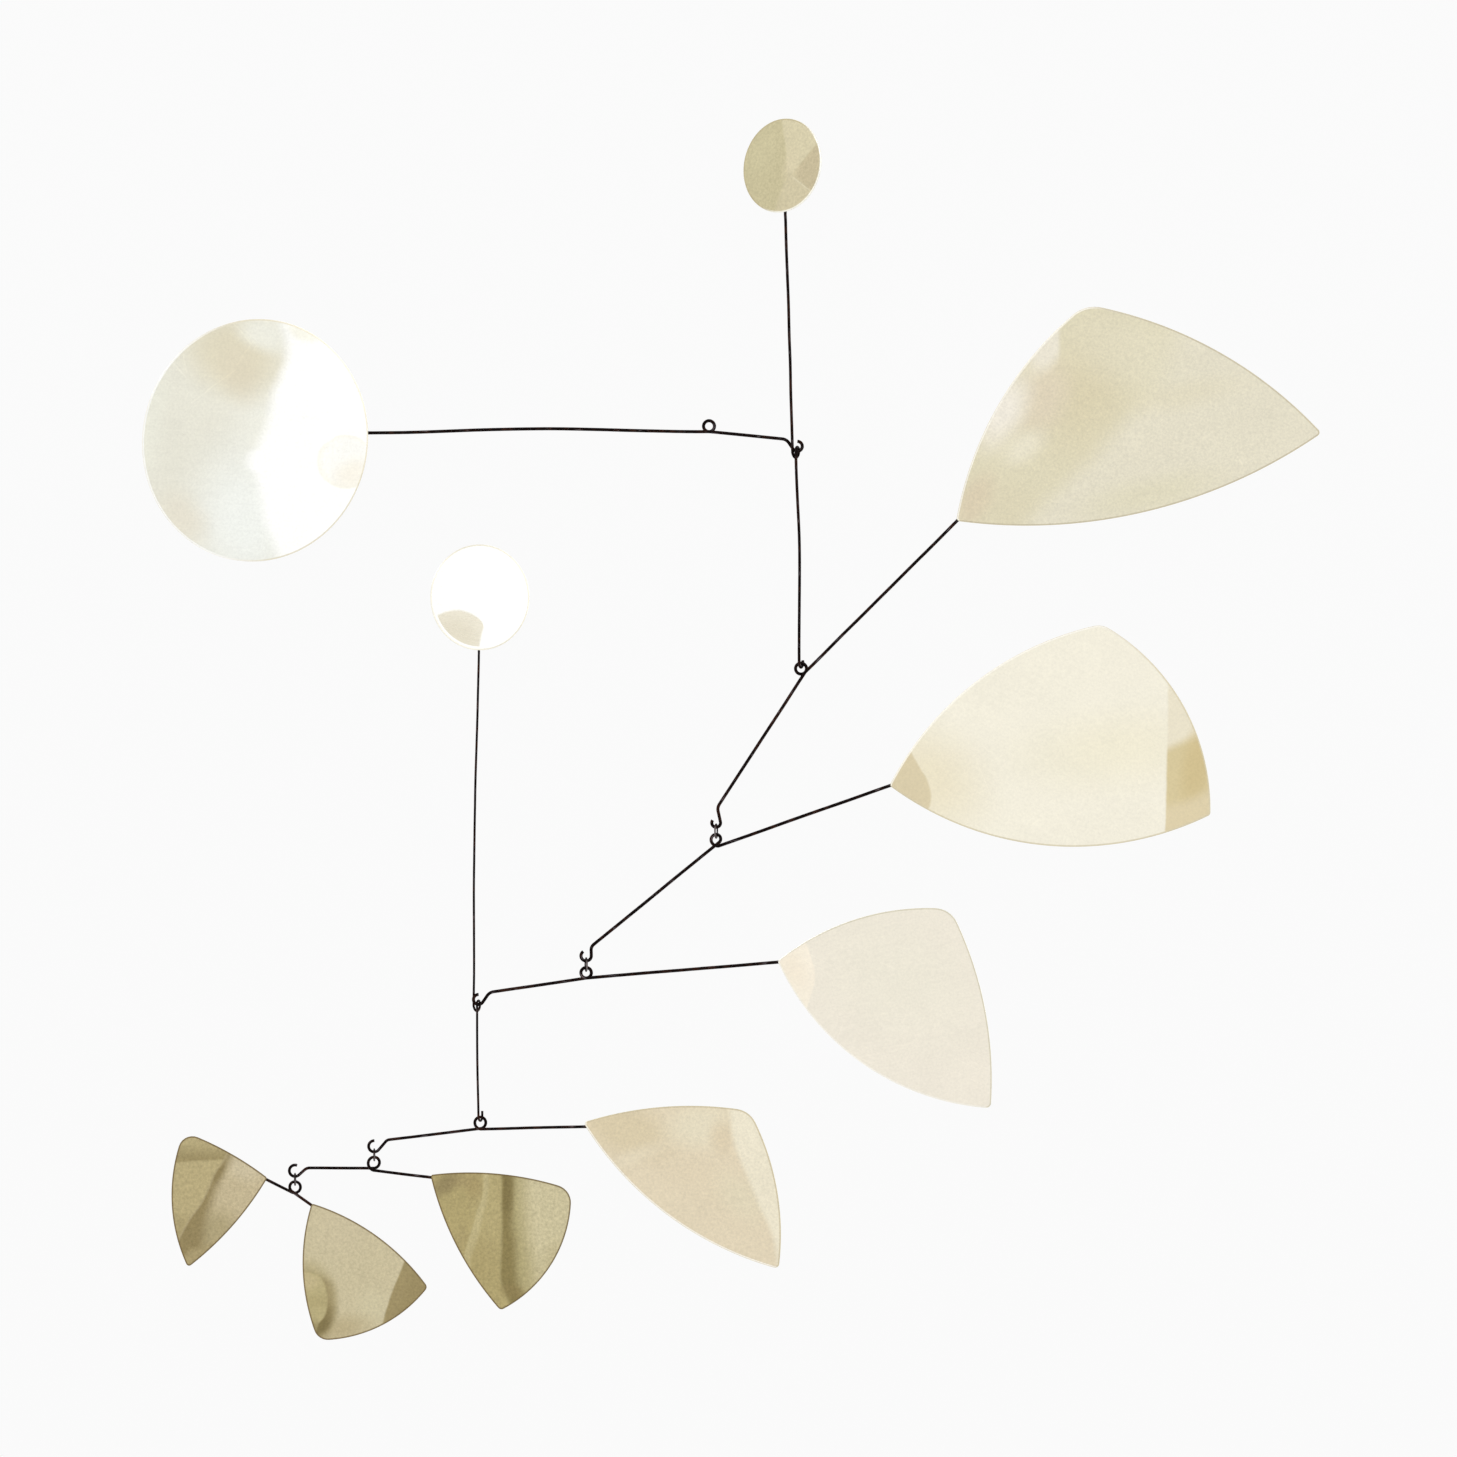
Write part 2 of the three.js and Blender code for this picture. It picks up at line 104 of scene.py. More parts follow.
# Each arm's line, from its plate round its eye at (0, 0) to its hook. Wind 1 is anticlockwise, lay 1
# enters the eye from behind, bows bend the two legs sideways and sways set the two ends back.
ARMS = {
    "arm_1": {
        "wire": HEAVY_WIRE, "wind": 1, "start": (-218.9, -4.3),
        "eye": {"bore": 4.9, "lay": 1}, "bows": (2.2, 0),
        "neck": {"at": (46.3, -13.9), "radius": 5.8},
        "hook": {"at": (56.5, -12.9), "bore": 4.3, "tip": 87},
    },
    "arm_2": {
        "wire": MIDDLE_WIRE, "wind": 1, "plane": UPRIGHT_PLANE, "start": (-3.4, 153.4),
        "eye": {"bore": 4.8, "lay": 1}, "bows": (0.6, 3.5), "sways": (5.0, -2.2),
        "hook": {"at": (0, -134.4), "bore": 4.5, "tip": 20},
    },
    "arm_3": {
        "wire": HEAVY_WIRE, "wind": -1, "start": (101.7, 96.4),
        "eye": {"bore": 4.9, "lay": 1},
        "neck": {"at": (-47.4, -90.0), "radius": 5.8},
        "hook": {"at": (-54.3, -98.7), "bore": 3.5, "tip": 145},
    },
    "arm_4": {
        "wire": HEAVY_WIRE, "wind": -1, "start": (113.4, 34.9),
        "eye": {"bore": 3.7, "lay": 1, "flares": (1.9, 0)},
        "neck": {"at": (-75.5, -71.0), "radius": 4.5},
        "hook": {"at": (-83.2, -74.8), "bore": 4.5, "tip": 125},
    },
    "arm_5": {
        "wire": HEAVY_WIRE, "wind": -1, "start": (124.8, 7.0),
        "eye": {"bore": 4.6, "lay": -1},
        "neck": {"at": (-58.5, -17.9), "radius": 5.8},
        "hook": {"at": (-68.9, -17.1), "bore": 4.3, "tip": 90},
    },
    "arm_6": {
        "wire": FINE_WIRE, "wind": 1, "plane": UPRIGHT_PLANE, "start": (-3.4, 227.5),
        "eye": {"bore": 5.2, "lay": 1, "lead": 1.6}, "bows": (-3.0, -0.6),
        "sways": (-3.7, -0.9),
        "hook": {"at": (0, -70.4), "bore": 4.9, "tip": 0, "reach": 3},
    },
    "arm_7": {
        "wire": MIDDLE_WIRE, "wind": -1, "start": (68.9, -2.9),
        "eye": {"bore": 4.5, "lay": -1, "flares": (1.3, 0.9)},
        "neck": {"at": (-57.7, -15.0), "radius": 3.8},
        "hook": {"at": (-67.9, -15.5), "bore": 5.3, "tip": 90},
    },
    "arm_8": {
        "wire": MIDDLE_WIRE, "wind": -1, "start": (37.8, -10.0),
        "eye": {"bore": 4.4, "lay": -1, "flares": (2.2, 0.8)},
        "neck": {"at": (-41.3, -8.9), "radius": 5.1},
        "hook": {"at": (-50.7, -5.6), "bore": 5.4, "tip": 70},
    },
    "arm_9": {
        "wire": MIDDLE_WIRE, "wind": 1, "start": (-19.8, 5.5),
        "eye": {"bore": 4.9, "lay": 1, "flares": (0.6, 0)}, "end": (11.8, -12.6),
    },
}

RINGS = {
    "ring_1": {"bore": 7.7, "turn": -10},
    "ring_2": {"bore": 7.3, "turn": 8},
    "ring_3": {"bore": 6.2, "turn": 3},
    "ring_4": {"bore": 6.2, "turn": 4},
}

# A disc turns about a leaning axis. Its centre and the wire's tail lie these ways from the rim.
DISCS = {
    "disc_1": {"radius": 77.8, "lean": 11.6, "turn": 23, "centre": 182.6, "tail": 180},
    "disc_2": {"radius": 30.5, "lean": 14.1, "turn": -36.5, "centre": 95, "tail": 90},
    "disc_3": {"radius": 33.9, "lean": 0, "turn": 21, "centre": 90, "tail": 90},
}

# A leaf's corners, as x, z and radius, the radii of the arcs between them, and its turn on its wire
LEAVES = {
    "leaf_1": {
        "corners": [(0, 0, 2.1), (86.2, 113.9, 21.3), (227.9, 54.7, 2.4)],
        "sides": (223.8, 267.8, 330.9), "turn": 3,
    },
    "leaf_2": {
        "corners": [(0, -0.3, 1.9), (131.3, 88.7, 12.9), (200.3, -17.9, 2.6)],
        "sides": (196.7, 134.8, 197.0), "turn": -2,
    },
    "leaf_3": {
        "corners": [(0, 0, 1.9), (98.0, 18.5, 16.1), (131.2, -90.3, 3.2)],
        "sides": (152.8, 238.0, 160.3), "turn": 2,
    },
    "leaf_4": {
        "corners": [(0, 1.5, 2.0), (92.9, -4.5, 15.9), (119.7, -87.7, 2.7)],
        "sides": (224.8, 165.3, 209.9), "turn": -3,
    },
    "leaf_5": {
        "corners": [(0, 0.6, 1.5), (76.5, -15.9, 11.6), (43.6, -81.6, 2.8)],
        "sides": (194.2, 82.0, 199.0), "turn": 5,
    },
    "leaf_6": {
        "corners": [(0, 0, 1.7), (-48.1, -54.1, 2.0), (-45.8, 18.0, 9.1)],
        "sides": (201.0, 107.3, 195.1), "turn": -5,
    },
    "leaf_7": {
        "corners": [(0, 0, 1.7), (69.4, -51.3, 3.1), (9.2, -76.2, 9.2)],
        "sides": (143.1, 87.3, 127.6), "turn": 4,
    },
}

# Each arm's body, its plates, the ring on its hook, in the order that they hang
CHAIN = [
    ("arm_1", "top_arm", ["disc_1"], None),
    ("arm_2", "upright_arm", ["disc_2"], None),
    ("arm_3", "slanting_arm", ["leaf_1"], "ring_1"),
    ("arm_4", "fourth_arm", ["leaf_2"], "ring_2"),
    ("arm_5", "fifth_arm", ["leaf_3"], None),
    ("arm_6", "lower_upright_arm", ["disc_3"], None),
    ("arm_7", "seventh_arm", ["leaf_4"], "ring_3"),
    ("arm_8", "eighth_arm", ["leaf_5"], "ring_4"),
    ("arm_9", "bottom_arm", ["leaf_6", "leaf_7"], None),
]

UP = Vector((0, 0, 1))
FULL_TURN = 2 * math.pi
QUARTER = math.pi / 2


def polar(angle):
    return Vector((math.cos(angle), math.sin(angle)))


# The wires' lines

def line_radius(loop, wire):
    return (loop["bore"] + wire) / 2


def leg_heading(before, after):
    run = after["at"] - before["at"]
    across = after["wind"] * after["radius_in"] - before["wind"] * before["radius_out"]
    along = math.sqrt(run.length_squared - across * across)
    return math.atan2(run.y, run.x) - math.atan2(across, along)


def sweep_round(circle, heading_in, heading_out):
    turn = (circle["wind"] * (heading_out - heading_in)) % FULL_TURN
    if circle["eye"] and turn < math.pi:
        turn += FULL_TURN
    return circle["wind"] * turn


def bend_circles(arm):
    def circle(at, radius, wind, eye=False, flares=(0, 0)):
        return {
            "at": Vector(at), "radius": radius, "wind": wind, "eye": eye,
            "radius_in": radius + flares[0], "radius_out": radius + flares[1],
        }

    eye = arm["eye"]
    circles = [
        circle(arm["start"], 0, 0),
        circle((0, 0), line_radius(eye, arm["wire"]), arm["wind"], True, eye.get("flares", (0, 0))),
    ]
    if "neck" in arm:
        circles.append(circle(arm["neck"]["at"], arm["neck"]["radius"], -arm["wind"]))
    if "hook" in arm:
        hook = arm["hook"]
        circles.append(circle(hook["at"], line_radius(hook, arm["wire"]), arm["wind"]))
    else:
        circles.append(circle(arm["end"], 0, 0))
    return circles


def flare_left(angle):
    return max(0, 1 - angle / math.pi) ** 2


# A hand-bent leg isn't quite straight: it wavers between its two ends. What stands beside the seed
# only picks a place in the noise.
def waver(seed, share, length):
    most = WAVER * min(1, share * length / WAVER_EASE, (1 - share) * length / WAVER_EASE)
    spot = (share * length / WAVER_LENGTH, seed * 7.3)
    return most * noise.noise(Vector((*spot, 0.5))), most * noise.noise(Vector((*spot, 9.5)))


def arm_line(arm, seed):
    circles = bend_circles(arm)
    last = len(circles) - 1
    headings = [leg_heading(circles[i], circles[i + 1]) for i in range(last)]
    if "hook" in arm:
        headings.append(math.radians(arm["hook"]["tip"]) + arm["wind"] * QUARTER)

    eye = circles[1]
    eye_sweep = sweep_round(eye, headings[0], headings[1])
    eye_start = headings[0] - eye["wind"] * QUARTER
    to_top = (eye["wind"] * (QUARTER - eye_start)) % FULL_TURN
    top_share = to_top / abs(eye_sweep)
    full_climb = top_share ** EYE_EASE + (1 - top_share) ** EYE_EASE
    lead = arm["eye"].get("lead", EYE_LEAD)

    def depth_in_eye(share):
        from_top = top_share - share
        climb = math.copysign(abs(from_top) ** EYE_EASE, from_top) / full_climb
        return arm["eye"]["lay"] * lead * arm["wire"] * climb

    sways = arm.get("sways", (0, 0))
    bows = arm.get("bows", (0, 0))
    turned = Quaternion(UP, math.radians(arm.get("plane", 0)))

    def place(at, depth):
        return turned @ Vector((at.x, depth, at.y))

    end_depth = depth_in_eye(1) + sways[1]
    leg_depths = [(depth_in_eye(0) + sways[0], depth_in_eye(0)), (depth_in_eye(1), end_depth)]
    spot = circles[0]["at"]
    points = [place(spot, leg_depths[0][0])]
    for i in range(1, last + 1):
        # The leg up to the circle, where it isn't quite straight or level
        circle = circles[i]
        heading = headings[i - 1]
        start_angle = heading - circle["wind"] * QUARTER
        leg = circle["at"] + polar(start_angle) * circle["radius_in"] - spot
        bow = bows[i - 1] if i <= 2 else 0
        near, far = leg_depths[i - 1] if i <= 2 else (end_depth, end_depth)
        steps = max(1, round(leg.length / LEG_STEP))
        for step in range(1, steps):
            share = step / steps
            side, out = waver(seed + i, share, leg.length)
            bulge = bow * math.sin(math.pi * share) ** 2 + side
            at = spot + leg * share + polar(heading + QUARTER) * bulge
            points.append(place(at, near + (far - near) * share + out))
        if circle["radius"] == 0:
            points.append(place(circle["at"], end_depth))
            break
        # The bend round it
        sweep = sweep_round(circle, heading, headings[i])
        full = abs(sweep)
        steps = math.ceil(full / math.radians(ARC_STEP))
        flare_in = circle["radius_in"] - circle["radius"]
        flare_out = circle["radius_out"] - circle["radius"]
        for step in range(steps + 1):
            share = step / steps
            radius = circle["radius"] + flare_in * flare_left(full * share)
            radius += flare_out * flare_left(full * (1 - share))
            spot = circle["at"] + polar(start_angle + sweep * share) * radius
            points.append(place(spot, depth_in_eye(share) if circle["eye"] else end_depth))

    line = {"points": points, "start": (points[0].copy(), -place(polar(headings[0]), 0))}
    if "hook" in arm:
        hook = circles[last]
        line["hook_bottom"] = place(hook["at"] - Vector((0, hook["radius"])), end_depth)
        if "reach" in arm["hook"]:
            points.append(points[-1] + place(polar(headings[last]), 0) * arm["hook"]["reach"])
    else:
        line["end"] = (points[-1].copy(), place(polar(headings[last - 1]), 0))
    return line


# The wire behind a plate, from its cut end to where it crosses the plate's edge
def tail_points(crossing, direction, length):
    at, outward = crossing
    bend = 0 if (direction - outward).length < 1e-6 else TAIL_BEND
    points = [at + direction * (bend + (length - bend) * s) for s in (1, 0.75, 0.5, 0.25)]
    if not bend:
        return points
    near = at + direction * bend
    far = at - outward * bend
    for step in range(TAIL_BEND_STEPS + 1):
        t = step / TAIL_BEND_STEPS
        points.append(near * (1 - t) ** 2 + at * 2 * t * (1 - t) + far * t ** 2)
    return points


# Meshes

def new_object(name, verts, faces):
    mesh = bpy.data.meshes.new(name)
    mesh.from_pydata([tuple(v) for v in verts], [], faces)
    mesh.validate()
    mesh.update()
    mesh.polygons.foreach_set("use_smooth", [True] * len(mesh.polygons))
    obj = bpy.data.objects.new(name, mesh)
    bpy.context.scene.collection.objects.link(obj)
    return obj


def store(obj, name, vectors):
    """Keeps a vector for each point of the mesh, which its material reads."""
    attribute = obj.data.attributes.new(name, "FLOAT_VECTOR", "POINT")
    attribute.data.foreach_set("vector", np.array(vectors, dtype=np.float32).ravel())


def joined(rings, count, turned=False):
    """Quads between closed rings of count points, each ring given by its first point's number."""
    faces = []
    for a, b in zip(rings, rings[1:]):
        for i in range(count):
            j = (i + 1) % count
            quad = (a + i, a + j, b + j, b + i)
            faces.append(quad[::-1] if turned else quad)
    return faces


def tube(name, points, radius, seed, closed=False):
    before = [points[-1 if closed else 0]] + points[:-1]
    after = points[1:] + [points[0 if closed else -1]]
    normal = (after[0] - before[0]).orthogonal().normalized()
    rows = []
    run = 0.0
    for point, last, following in zip(points, before, after):
        tangent = (following - last).normalized()
        normal = (normal - tangent * normal.dot(tangent)).normalized()
        rows.append((point, tangent, normal.copy(), run))
        run += (following - point).length
    if not closed:
        # A cut end: the wire's edge is only just broken
        for at, step in ((0, -1), (-1, 1)):
            place, tangent, side, run = rows[at]
            rim = (place + tangent * step * CUT_BEVEL, tangent, side, run)
            rows = [rim] + rows if step < 0 else rows + [rim]
    verts = []
    runs = []
    for i, (place, tangent, side, run) in enumerate(rows):
        other = tangent.cross(side)
        scale = 1 + RIPPLE * noise.noise(Vector((run / RIPPLE_LENGTH, seed * 3.1, 4.2)))
        if not closed and i in (0, len(rows) - 1):
            scale *= CUT_SHARE
        for k in range(WIRE_SIDES):
            x, y = polar(FULL_TURN * k / WIRE_SIDES)
            dent = 1 + RIPPLE * noise.noise(Vector((run / DENT_LENGTH, seed + 2 * x, 2 * y)))
            r = radius * min(scale * dent, 1 + RIPPLE)
            verts.append((place + side * r * x + other * r * y) * MM)
            runs.append((run * MM, x, y))
    rings = [i * WIRE_SIDES for i in range(len(rows))]
    faces = joined(rings + rings[:1] if closed else rings, WIRE_SIDES)
    if not closed:
        for at, step in ((0, -1), (-1, 1)):
            place, tangent, _, run = rows[at]
            hub = len(verts)
            verts.append((place + tangent * step * CUT_DOME) * MM)
            runs.append((run * MM, 0, 0))
            for k in range(WIRE_SIDES):
                a = rings[at] + k
                b = rings[at] + (k + 1) % WIRE_SIDES
                faces.append((hub, b, a) if step < 0 else (hub, a, b))
    obj = new_object(name, verts, faces)
    store(obj, "run", runs)
    return obj


# A leaf's outline, clockwise: three corner circles, and three long arcs that touch them
def leaf_outline(leaf):
    corners = leaf["corners"]
    middles = [Vector((x, z)) for x, z, _ in corners]
    count = len(corners)
    centres = []
    for i, radius in enumerate(leaf["sides"]):
        after = (i + 1) % count
        across = middles[after] - middles[i]
        span = across.length
        near = radius - corners[i][2]
        far = radius - corners[after][2]
        along = (near * near - far * far + span * span) / (2 * span)
        inward = math.sqrt(near * near - along * along)
        direction = across / span
        right = Vector((direction.y, -direction.x))
        centres.append(middles[i] + direction * along + right * inward)
    points = []

    def add_arc(centre, radius, first, final):
        a = math.atan2(first.y, first.x)
        b = math.atan2(final.y, final.x)
        sweep = (a - b) % FULL_TURN
        steps = max(CORNER_STEPS, round(radius * sweep / OUTLINE_STEP))
        for step in range(steps):
            angle = a - sweep * step / steps
            points.append(centre + polar(angle) * radius)

    for i, corner in enumerate(corners):
        arriving = centres[i - 1]
        leaving = centres[i]
        following = middles[(i + 1) % count]
        add_arc(middles[i], corner[2], middles[i] - arriving, middles[i] - leaving)
        add_arc(leaving, leaf["sides"][i], middles[i] - leaving, following - leaving)
    return points


def circle_outline(centre, radius):
    steps = round(FULL_TURN * radius / OUTLINE_STEP)
    return [centre + polar(-FULL_TURN * step / steps) * radius for step in range(steps)]


# A sheet of brass. place turns (across, depth, up) on the plate into the mobile's frame, with depth
# growing towards the front, and relief gives how far the sheet is bent forward at a pixel.
def plate(name, outline, place, relief):
    count = len(outline)
    area = 0.0
    middle = Vector((0, 0))
    for a, b in zip(outline, outline[1:] + outline[:1]):
        piece = a.x * b.y - b.x * a.y
        area += piece
        middle += (a + b) * piece
    middle /= 3 * area
    outward = []
    for i in range(count):
        run = outline[(i + 1) % count] - outline[i - 1]
        outward.append(Vector((-run.y, run.x)).normalized())
    verts = []
    edges = []

    def add(point, depth, edge):
        spot = place(point.x, 0, point.y)
        bend = relief(ORIGIN_U + spot.x / PX, ORIGIN_V - spot.z / PX)
        verts.append(place(point.x, depth + bend, point.y) * MM)
        edges.append(edge)

    for depth in (SHEET, 0.0):
        add(middle, depth, (PLATE_MIDDLE, 0, 0))
        for ring in range(1, PLATE_RINGS + 1):
            share = 1 - (1 - ring / PLATE_RINGS) ** RING_CROWDING
            for i in range(count):
                rim = outline[i] - outward[i] * EDGE_ROUND
                far = (rim - middle).dot(outward[i]) * (1 - share)
                add(middle + (rim - middle) * share, depth, (far, outward[i].x, outward[i].y))
    for step in range(1, RIM_STEPS):
        angle = math.pi * step / RIM_STEPS
        across = EDGE_ROUND * (math.sin(angle) ** RIM_POWER - 1)
        level = math.copysign(abs(math.cos(angle)) ** RIM_POWER, math.cos(angle))
        for i in range(count):
            add(outline[i] + outward[i] * across, SHEET * (1 + level) / 2, (0, outward[i].x, outward[i].y))
    side = 1 + PLATE_RINGS * count

    faces = []
    rim = [2 * side + step * count for step in range(RIM_STEPS - 1)]
    for hub, front in ((0, True), (side, False)):
        rings = [hub + 1 + ring * count for ring in range(PLATE_RINGS)]
        for i in range(count):
            corner = (hub, rings[0] + i, rings[0] + (i + 1) % count)
            faces.append(corner if front else corner[::-1])
        faces += joined(rings, count, front)
        rim.insert(0 if front else len(rim), rings[-1])
    slots = [0] * len(faces) + [1] * RIM_STEPS * count
    obj = new_object(name, verts, faces + joined(rim, count, True))
    obj.data.polygons.foreach_set("material_index", slots)
    store(obj, "edge", edges)
    return obj


# A low mound of solder along the wire's tail, between the wire and the back of the plate
def solder(name, points, wire, toward):
    lengths = [0.0]
    for a, b in zip(points, points[1:]):
        lengths.append(lengths[-1] + (b - a).length)
    foot = toward * (wire / 2 + SOLDER_GAP - SOLDER_SINK)
    verts = []
    for row in range(SOLDER_ROWS + 1):
        share = row / SOLDER_ROWS
        run = lengths[-1] * share
        k = max(i for i, length in enumerate(lengths[:-1]) if length <= run)
        t = (run - lengths[k]) / (lengths[k + 1] - lengths[k])
        place = points[k].lerp(points[k + 1], t)
        along = (points[k + 1] - points[k]).normalized()
        across = along.cross(toward).normalized()
        # Wide and tall as shares of the wire, most in the middle, and uneven every 3 mm or so
        swell = math.sin(math.pi * share) ** 0.35
        wide = wire * (0.35 + 0.72 * swell) * (1 + 0.22 * noise.noise(Vector((run / 3.2, 3.3, wire))))
        tall = wire * (0.10 + 0.42 * swell) * (1 + 0.25 * noise.noise(Vector((run / 2.6, 8.1, wire))))
        for column in range(SOLDER_COLUMNS):
            angle = math.pi * column / (SOLDER_COLUMNS - 1)
            height = math.sin(angle) ** 1.4 * tall
            verts.append((place + across * wide * math.cos(angle) + foot - toward * height) * MM)
    # The mound with its underside, against the plate, and its two ends
    ends = (tuple(range(SOLDER_COLUMNS)), tuple(reversed(range(len(verts) - SOLDER_COLUMNS, len(verts)))))
    rings = range(0, len(verts), SOLDER_COLUMNS)
    return new_object(name, verts, [*joined(rings, SOLDER_COLUMNS), *ends])


# Materials

def srgb(r, g, b):
    def linear(c):
        c /= 255
        return c / 12.92 if c <= 0.04045 else ((c + 0.055) / 1.055) ** 2.4
    return (linear(r), linear(g), linear(b), 1)


class Nodes:
    """Adds nodes to a tree. An input takes a plain value or another node's output."""

    def __init__(self, tree):
        self.tree = tree

    def fill(self, target, source):
        if hasattr(source, "is_output"):
            self.tree.links.new(source, target)
        else:
            target.default_value = source

    def node(self, kind, **inputs):
        """A node with its inputs filled by name, where _ stands for a space."""
        node = self.tree.nodes.new(kind)
        for name, source in inputs.items():
            self.fill(node.inputs[name.replace("_", " ")], source)
        return node

    def parts(self, vector):
        return self.node("ShaderNodeSeparateXYZ", Vector=vector).outputs

    def math(self, operation, *values):
        node = self.node("ShaderNodeMath")
        node.operation = operation
        for value, socket in zip(values, node.inputs):
            self.fill(socket, value)
        return node.outputs[0]

    def step(self, value, low, high, start=0.0, stop=1.0):
        """Passes smoothly from start to stop as the value goes from low to high."""
        node = self.node(
            "ShaderNodeMapRange", Value=value, From_Min=low, From_Max=high, To_Min=start, To_Max=stop)
        node.interpolation_type = "SMOOTHSTEP"
        return node.outputs["Result"]


class Paint(Nodes):
    """A material whose colours are laid out in the photograph's pixels, fixed to the piece."""

    def __init__(self, name, metallic, roughness, waver=0.0):
        self.material = bpy.data.materials.new(name)
        self.material.use_nodes = True
        super().__init__(self.material.node_tree)
        self.shader = self.tree.nodes["Principled BSDF"]
        self.shader.inputs["Metallic"].default_value = metallic
        self.shader.inputs["Roughness"].default_value = roughness
        self.place = self.node("ShaderNodeTexCoord").outputs["Object"]
        spot = self.parts(self.place)
        self.u = self.sum(ORIGIN_U, (spot["X"], 1 / (PX * MM)))
        self.v = self.sum(ORIGIN_V, (spot["Z"], -1 / (PX * MM)))
        if waver:
            wander = self.parts(self.noise(55, 3, 0.55, output="Color"))
            self.u = self.math("ADD", self.u, self.sum(-waver / 2, (wander["X"], waver)))
            self.v = self.math("ADD", self.v, self.sum(-waver / 2, (wander["Y"], waver)))

    def sum(self, start, *products):
        for value, factor in products:
            start = self.math("MULTIPLY_ADD", value, factor, start)
        return start

    def noise(self, scale, detail, rough, place=None, output="Fac"):
        node = self.node("ShaderNodeTexNoise", Scale=scale, Detail=detail, Roughness=rough)
        self.fill(node.inputs["Vector"], self.place if place is None else place)
        return node.outputs[output]

    def brush(self, angle, along, across, detail, rough):
        """Noise drawn out along one way, which is turned in the picture's plane."""
        turned = self.node(
            "ShaderNodeMapping", Vector=self.place, Rotation=(0, math.radians(angle), 0),
            Scale=(along, 1, across))
        turned.vector_type = "TEXTURE"
        return self.noise(1, detail, rough, turned.outputs[0])

    # Masks are 1 inside and 0 outside, and their places are the photograph's pixels
    def reach(self, first, second):
        """Pixels to the right of the line from the first pixel to the second, going along it."""
        (u1, v1), (u2, v2) = first, second
        length = math.hypot(u2 - u1, v2 - v1)
        nu, nv = -(v2 - v1) / length, (u2 - u1) / length
        return self.sum(-(nu * u1 + nv * v1), (self.u, nu), (self.v, nv))

    def side(self, first, second, soft):
        return self.step(self.reach(first, second), -soft, soft)

    def band(self, first, second, width, soft):
        away = self.math("ABSOLUTE", self.reach(first, second))
        return self.step(away, width, width + soft, 1, 0)

    def stroke(self, first, second, width):
        """A short line that fades at both ends."""
        middle = (Vector(first) + Vector(second)) / 2
        half = middle - Vector(first)
        from_middle = self.math("ABSOLUTE", self.reach(middle, middle + half.orthogonal()))
        ends = self.step(from_middle, half.length * 0.6, half.length, 1, 0)
        return self.both(self.band(first, second, width * 0.4, width), ends)

    def beyond(self, along, across, points, soft):
        """1 where across is past the line through the points (along, across)."""
        low, high = points[0][0], points[-1][0]
        least = min(value for _, value in points) - 1
        most = max(value for _, value in points) + 1
        run = self.node("ShaderNodeMapRange", Value=along, From_Min=low, From_Max=high)
        curve = self.node("ShaderNodeFloatCurve", Value=run.outputs["Result"])
        line = curve.mapping.curves[0]
        while len(line.points) < len(points):
            line.points.new(0.5, 0.5)
        for spot, (place, value) in zip(line.points, points):
            spot.location = ((place - low) / (high - low), (value - least) / (most - least))
        curve.mapping.update()
        edge = self.sum(least, (curve.outputs[0], most - least))
        return self.step(self.math("SUBTRACT", across, edge), -soft, soft)

    def right_of(self, points, soft):
        """1 to the right of a line that runs down the picture through the pixels (u, v)."""
        return self.beyond(self.v, self.u, [(v, u) for u, v in points], soft)

    def left_of(self, points, soft):
        return self.without(self.right_of(points, soft))

    def below(self, points, soft):
        """1 below a line that runs across the picture through the pixels (u, v)."""
        return self.beyond(self.u, self.v, points, soft)

    def oval(self, u, v, half_width, half_height, angle=0, soft=0.8):
        """An oval round the pixel (u, v), turned clockwise by angle."""
        c, s = polar(math.radians(angle))
        squares = 0
        for x, y, half in ((c, s, half_width), (-s, c, half_height)):
            away = self.sum(-(x * u + y * v) / half, (self.u, x / half), (self.v, y / half))
            squares = self.sum(squares, (away, away))
        return self.step(self.math("SQRT", squares), 1 - soft, 1 + soft, 1, 0)

    def both(self, *masks):
        result = masks[0]
        for mask in masks[1:]:
            result = self.times(result, mask)
        return result

    def without(self, mask):
        return self.math("SUBTRACT", 1.0, mask)

    def times(self, mask, amount):
        return self.math("MULTIPLY", mask, amount)

    def mix(self, factor, first, second):
        node = self.node("ShaderNodeMix")
        node.data_type = "RGBA"
        # A mix of colours has its sockets at these places
        for value, place in ((factor, 0), (first, 6), (second, 7)):
            self.fill(node.inputs[place], value)
        return node.outputs[2]

    def lay(self, ground, *layers):
        """Paints layer after layer: the masks that all of it keeps within, its strength, its colour."""
        colour = srgb(*ground)
        for *masks, strength, tint in layers:
            if strength != 1:
                masks.append(strength)
            colour = self.mix(self.both(*masks), colour, srgb(*tint))
        return colour

    def edge(self, direction=0):
        """Millimetres from the sheet's outline, and how far the outline faces the direction."""
        node = self.node("ShaderNodeAttribute")
        node.attribute_name = "edge"
        parts = self.parts(node.outputs["Vector"])
        c, s = polar(math.radians(direction))
        return parts["X"], self.sum(0, (parts["Y"], c), (parts["Z"], s))

    def finish(self, colour, value=None, roughness=None, height=None, depth=0.0):
        if value is not None:
            colour = self.node("ShaderNodeHueSaturation", Value=value, Color=colour).outputs[0]
        self.fill(self.shader.inputs["Base Color"], colour)
        if roughness is not None:
            self.fill(self.shader.inputs["Roughness"], roughness)
        if height is not None:
            bump = self.node("ShaderNodeBump", Strength=1, Distance=depth, Height=height)
            self.fill(self.shader.inputs["Normal"], bump.outputs[0])
        return self.material


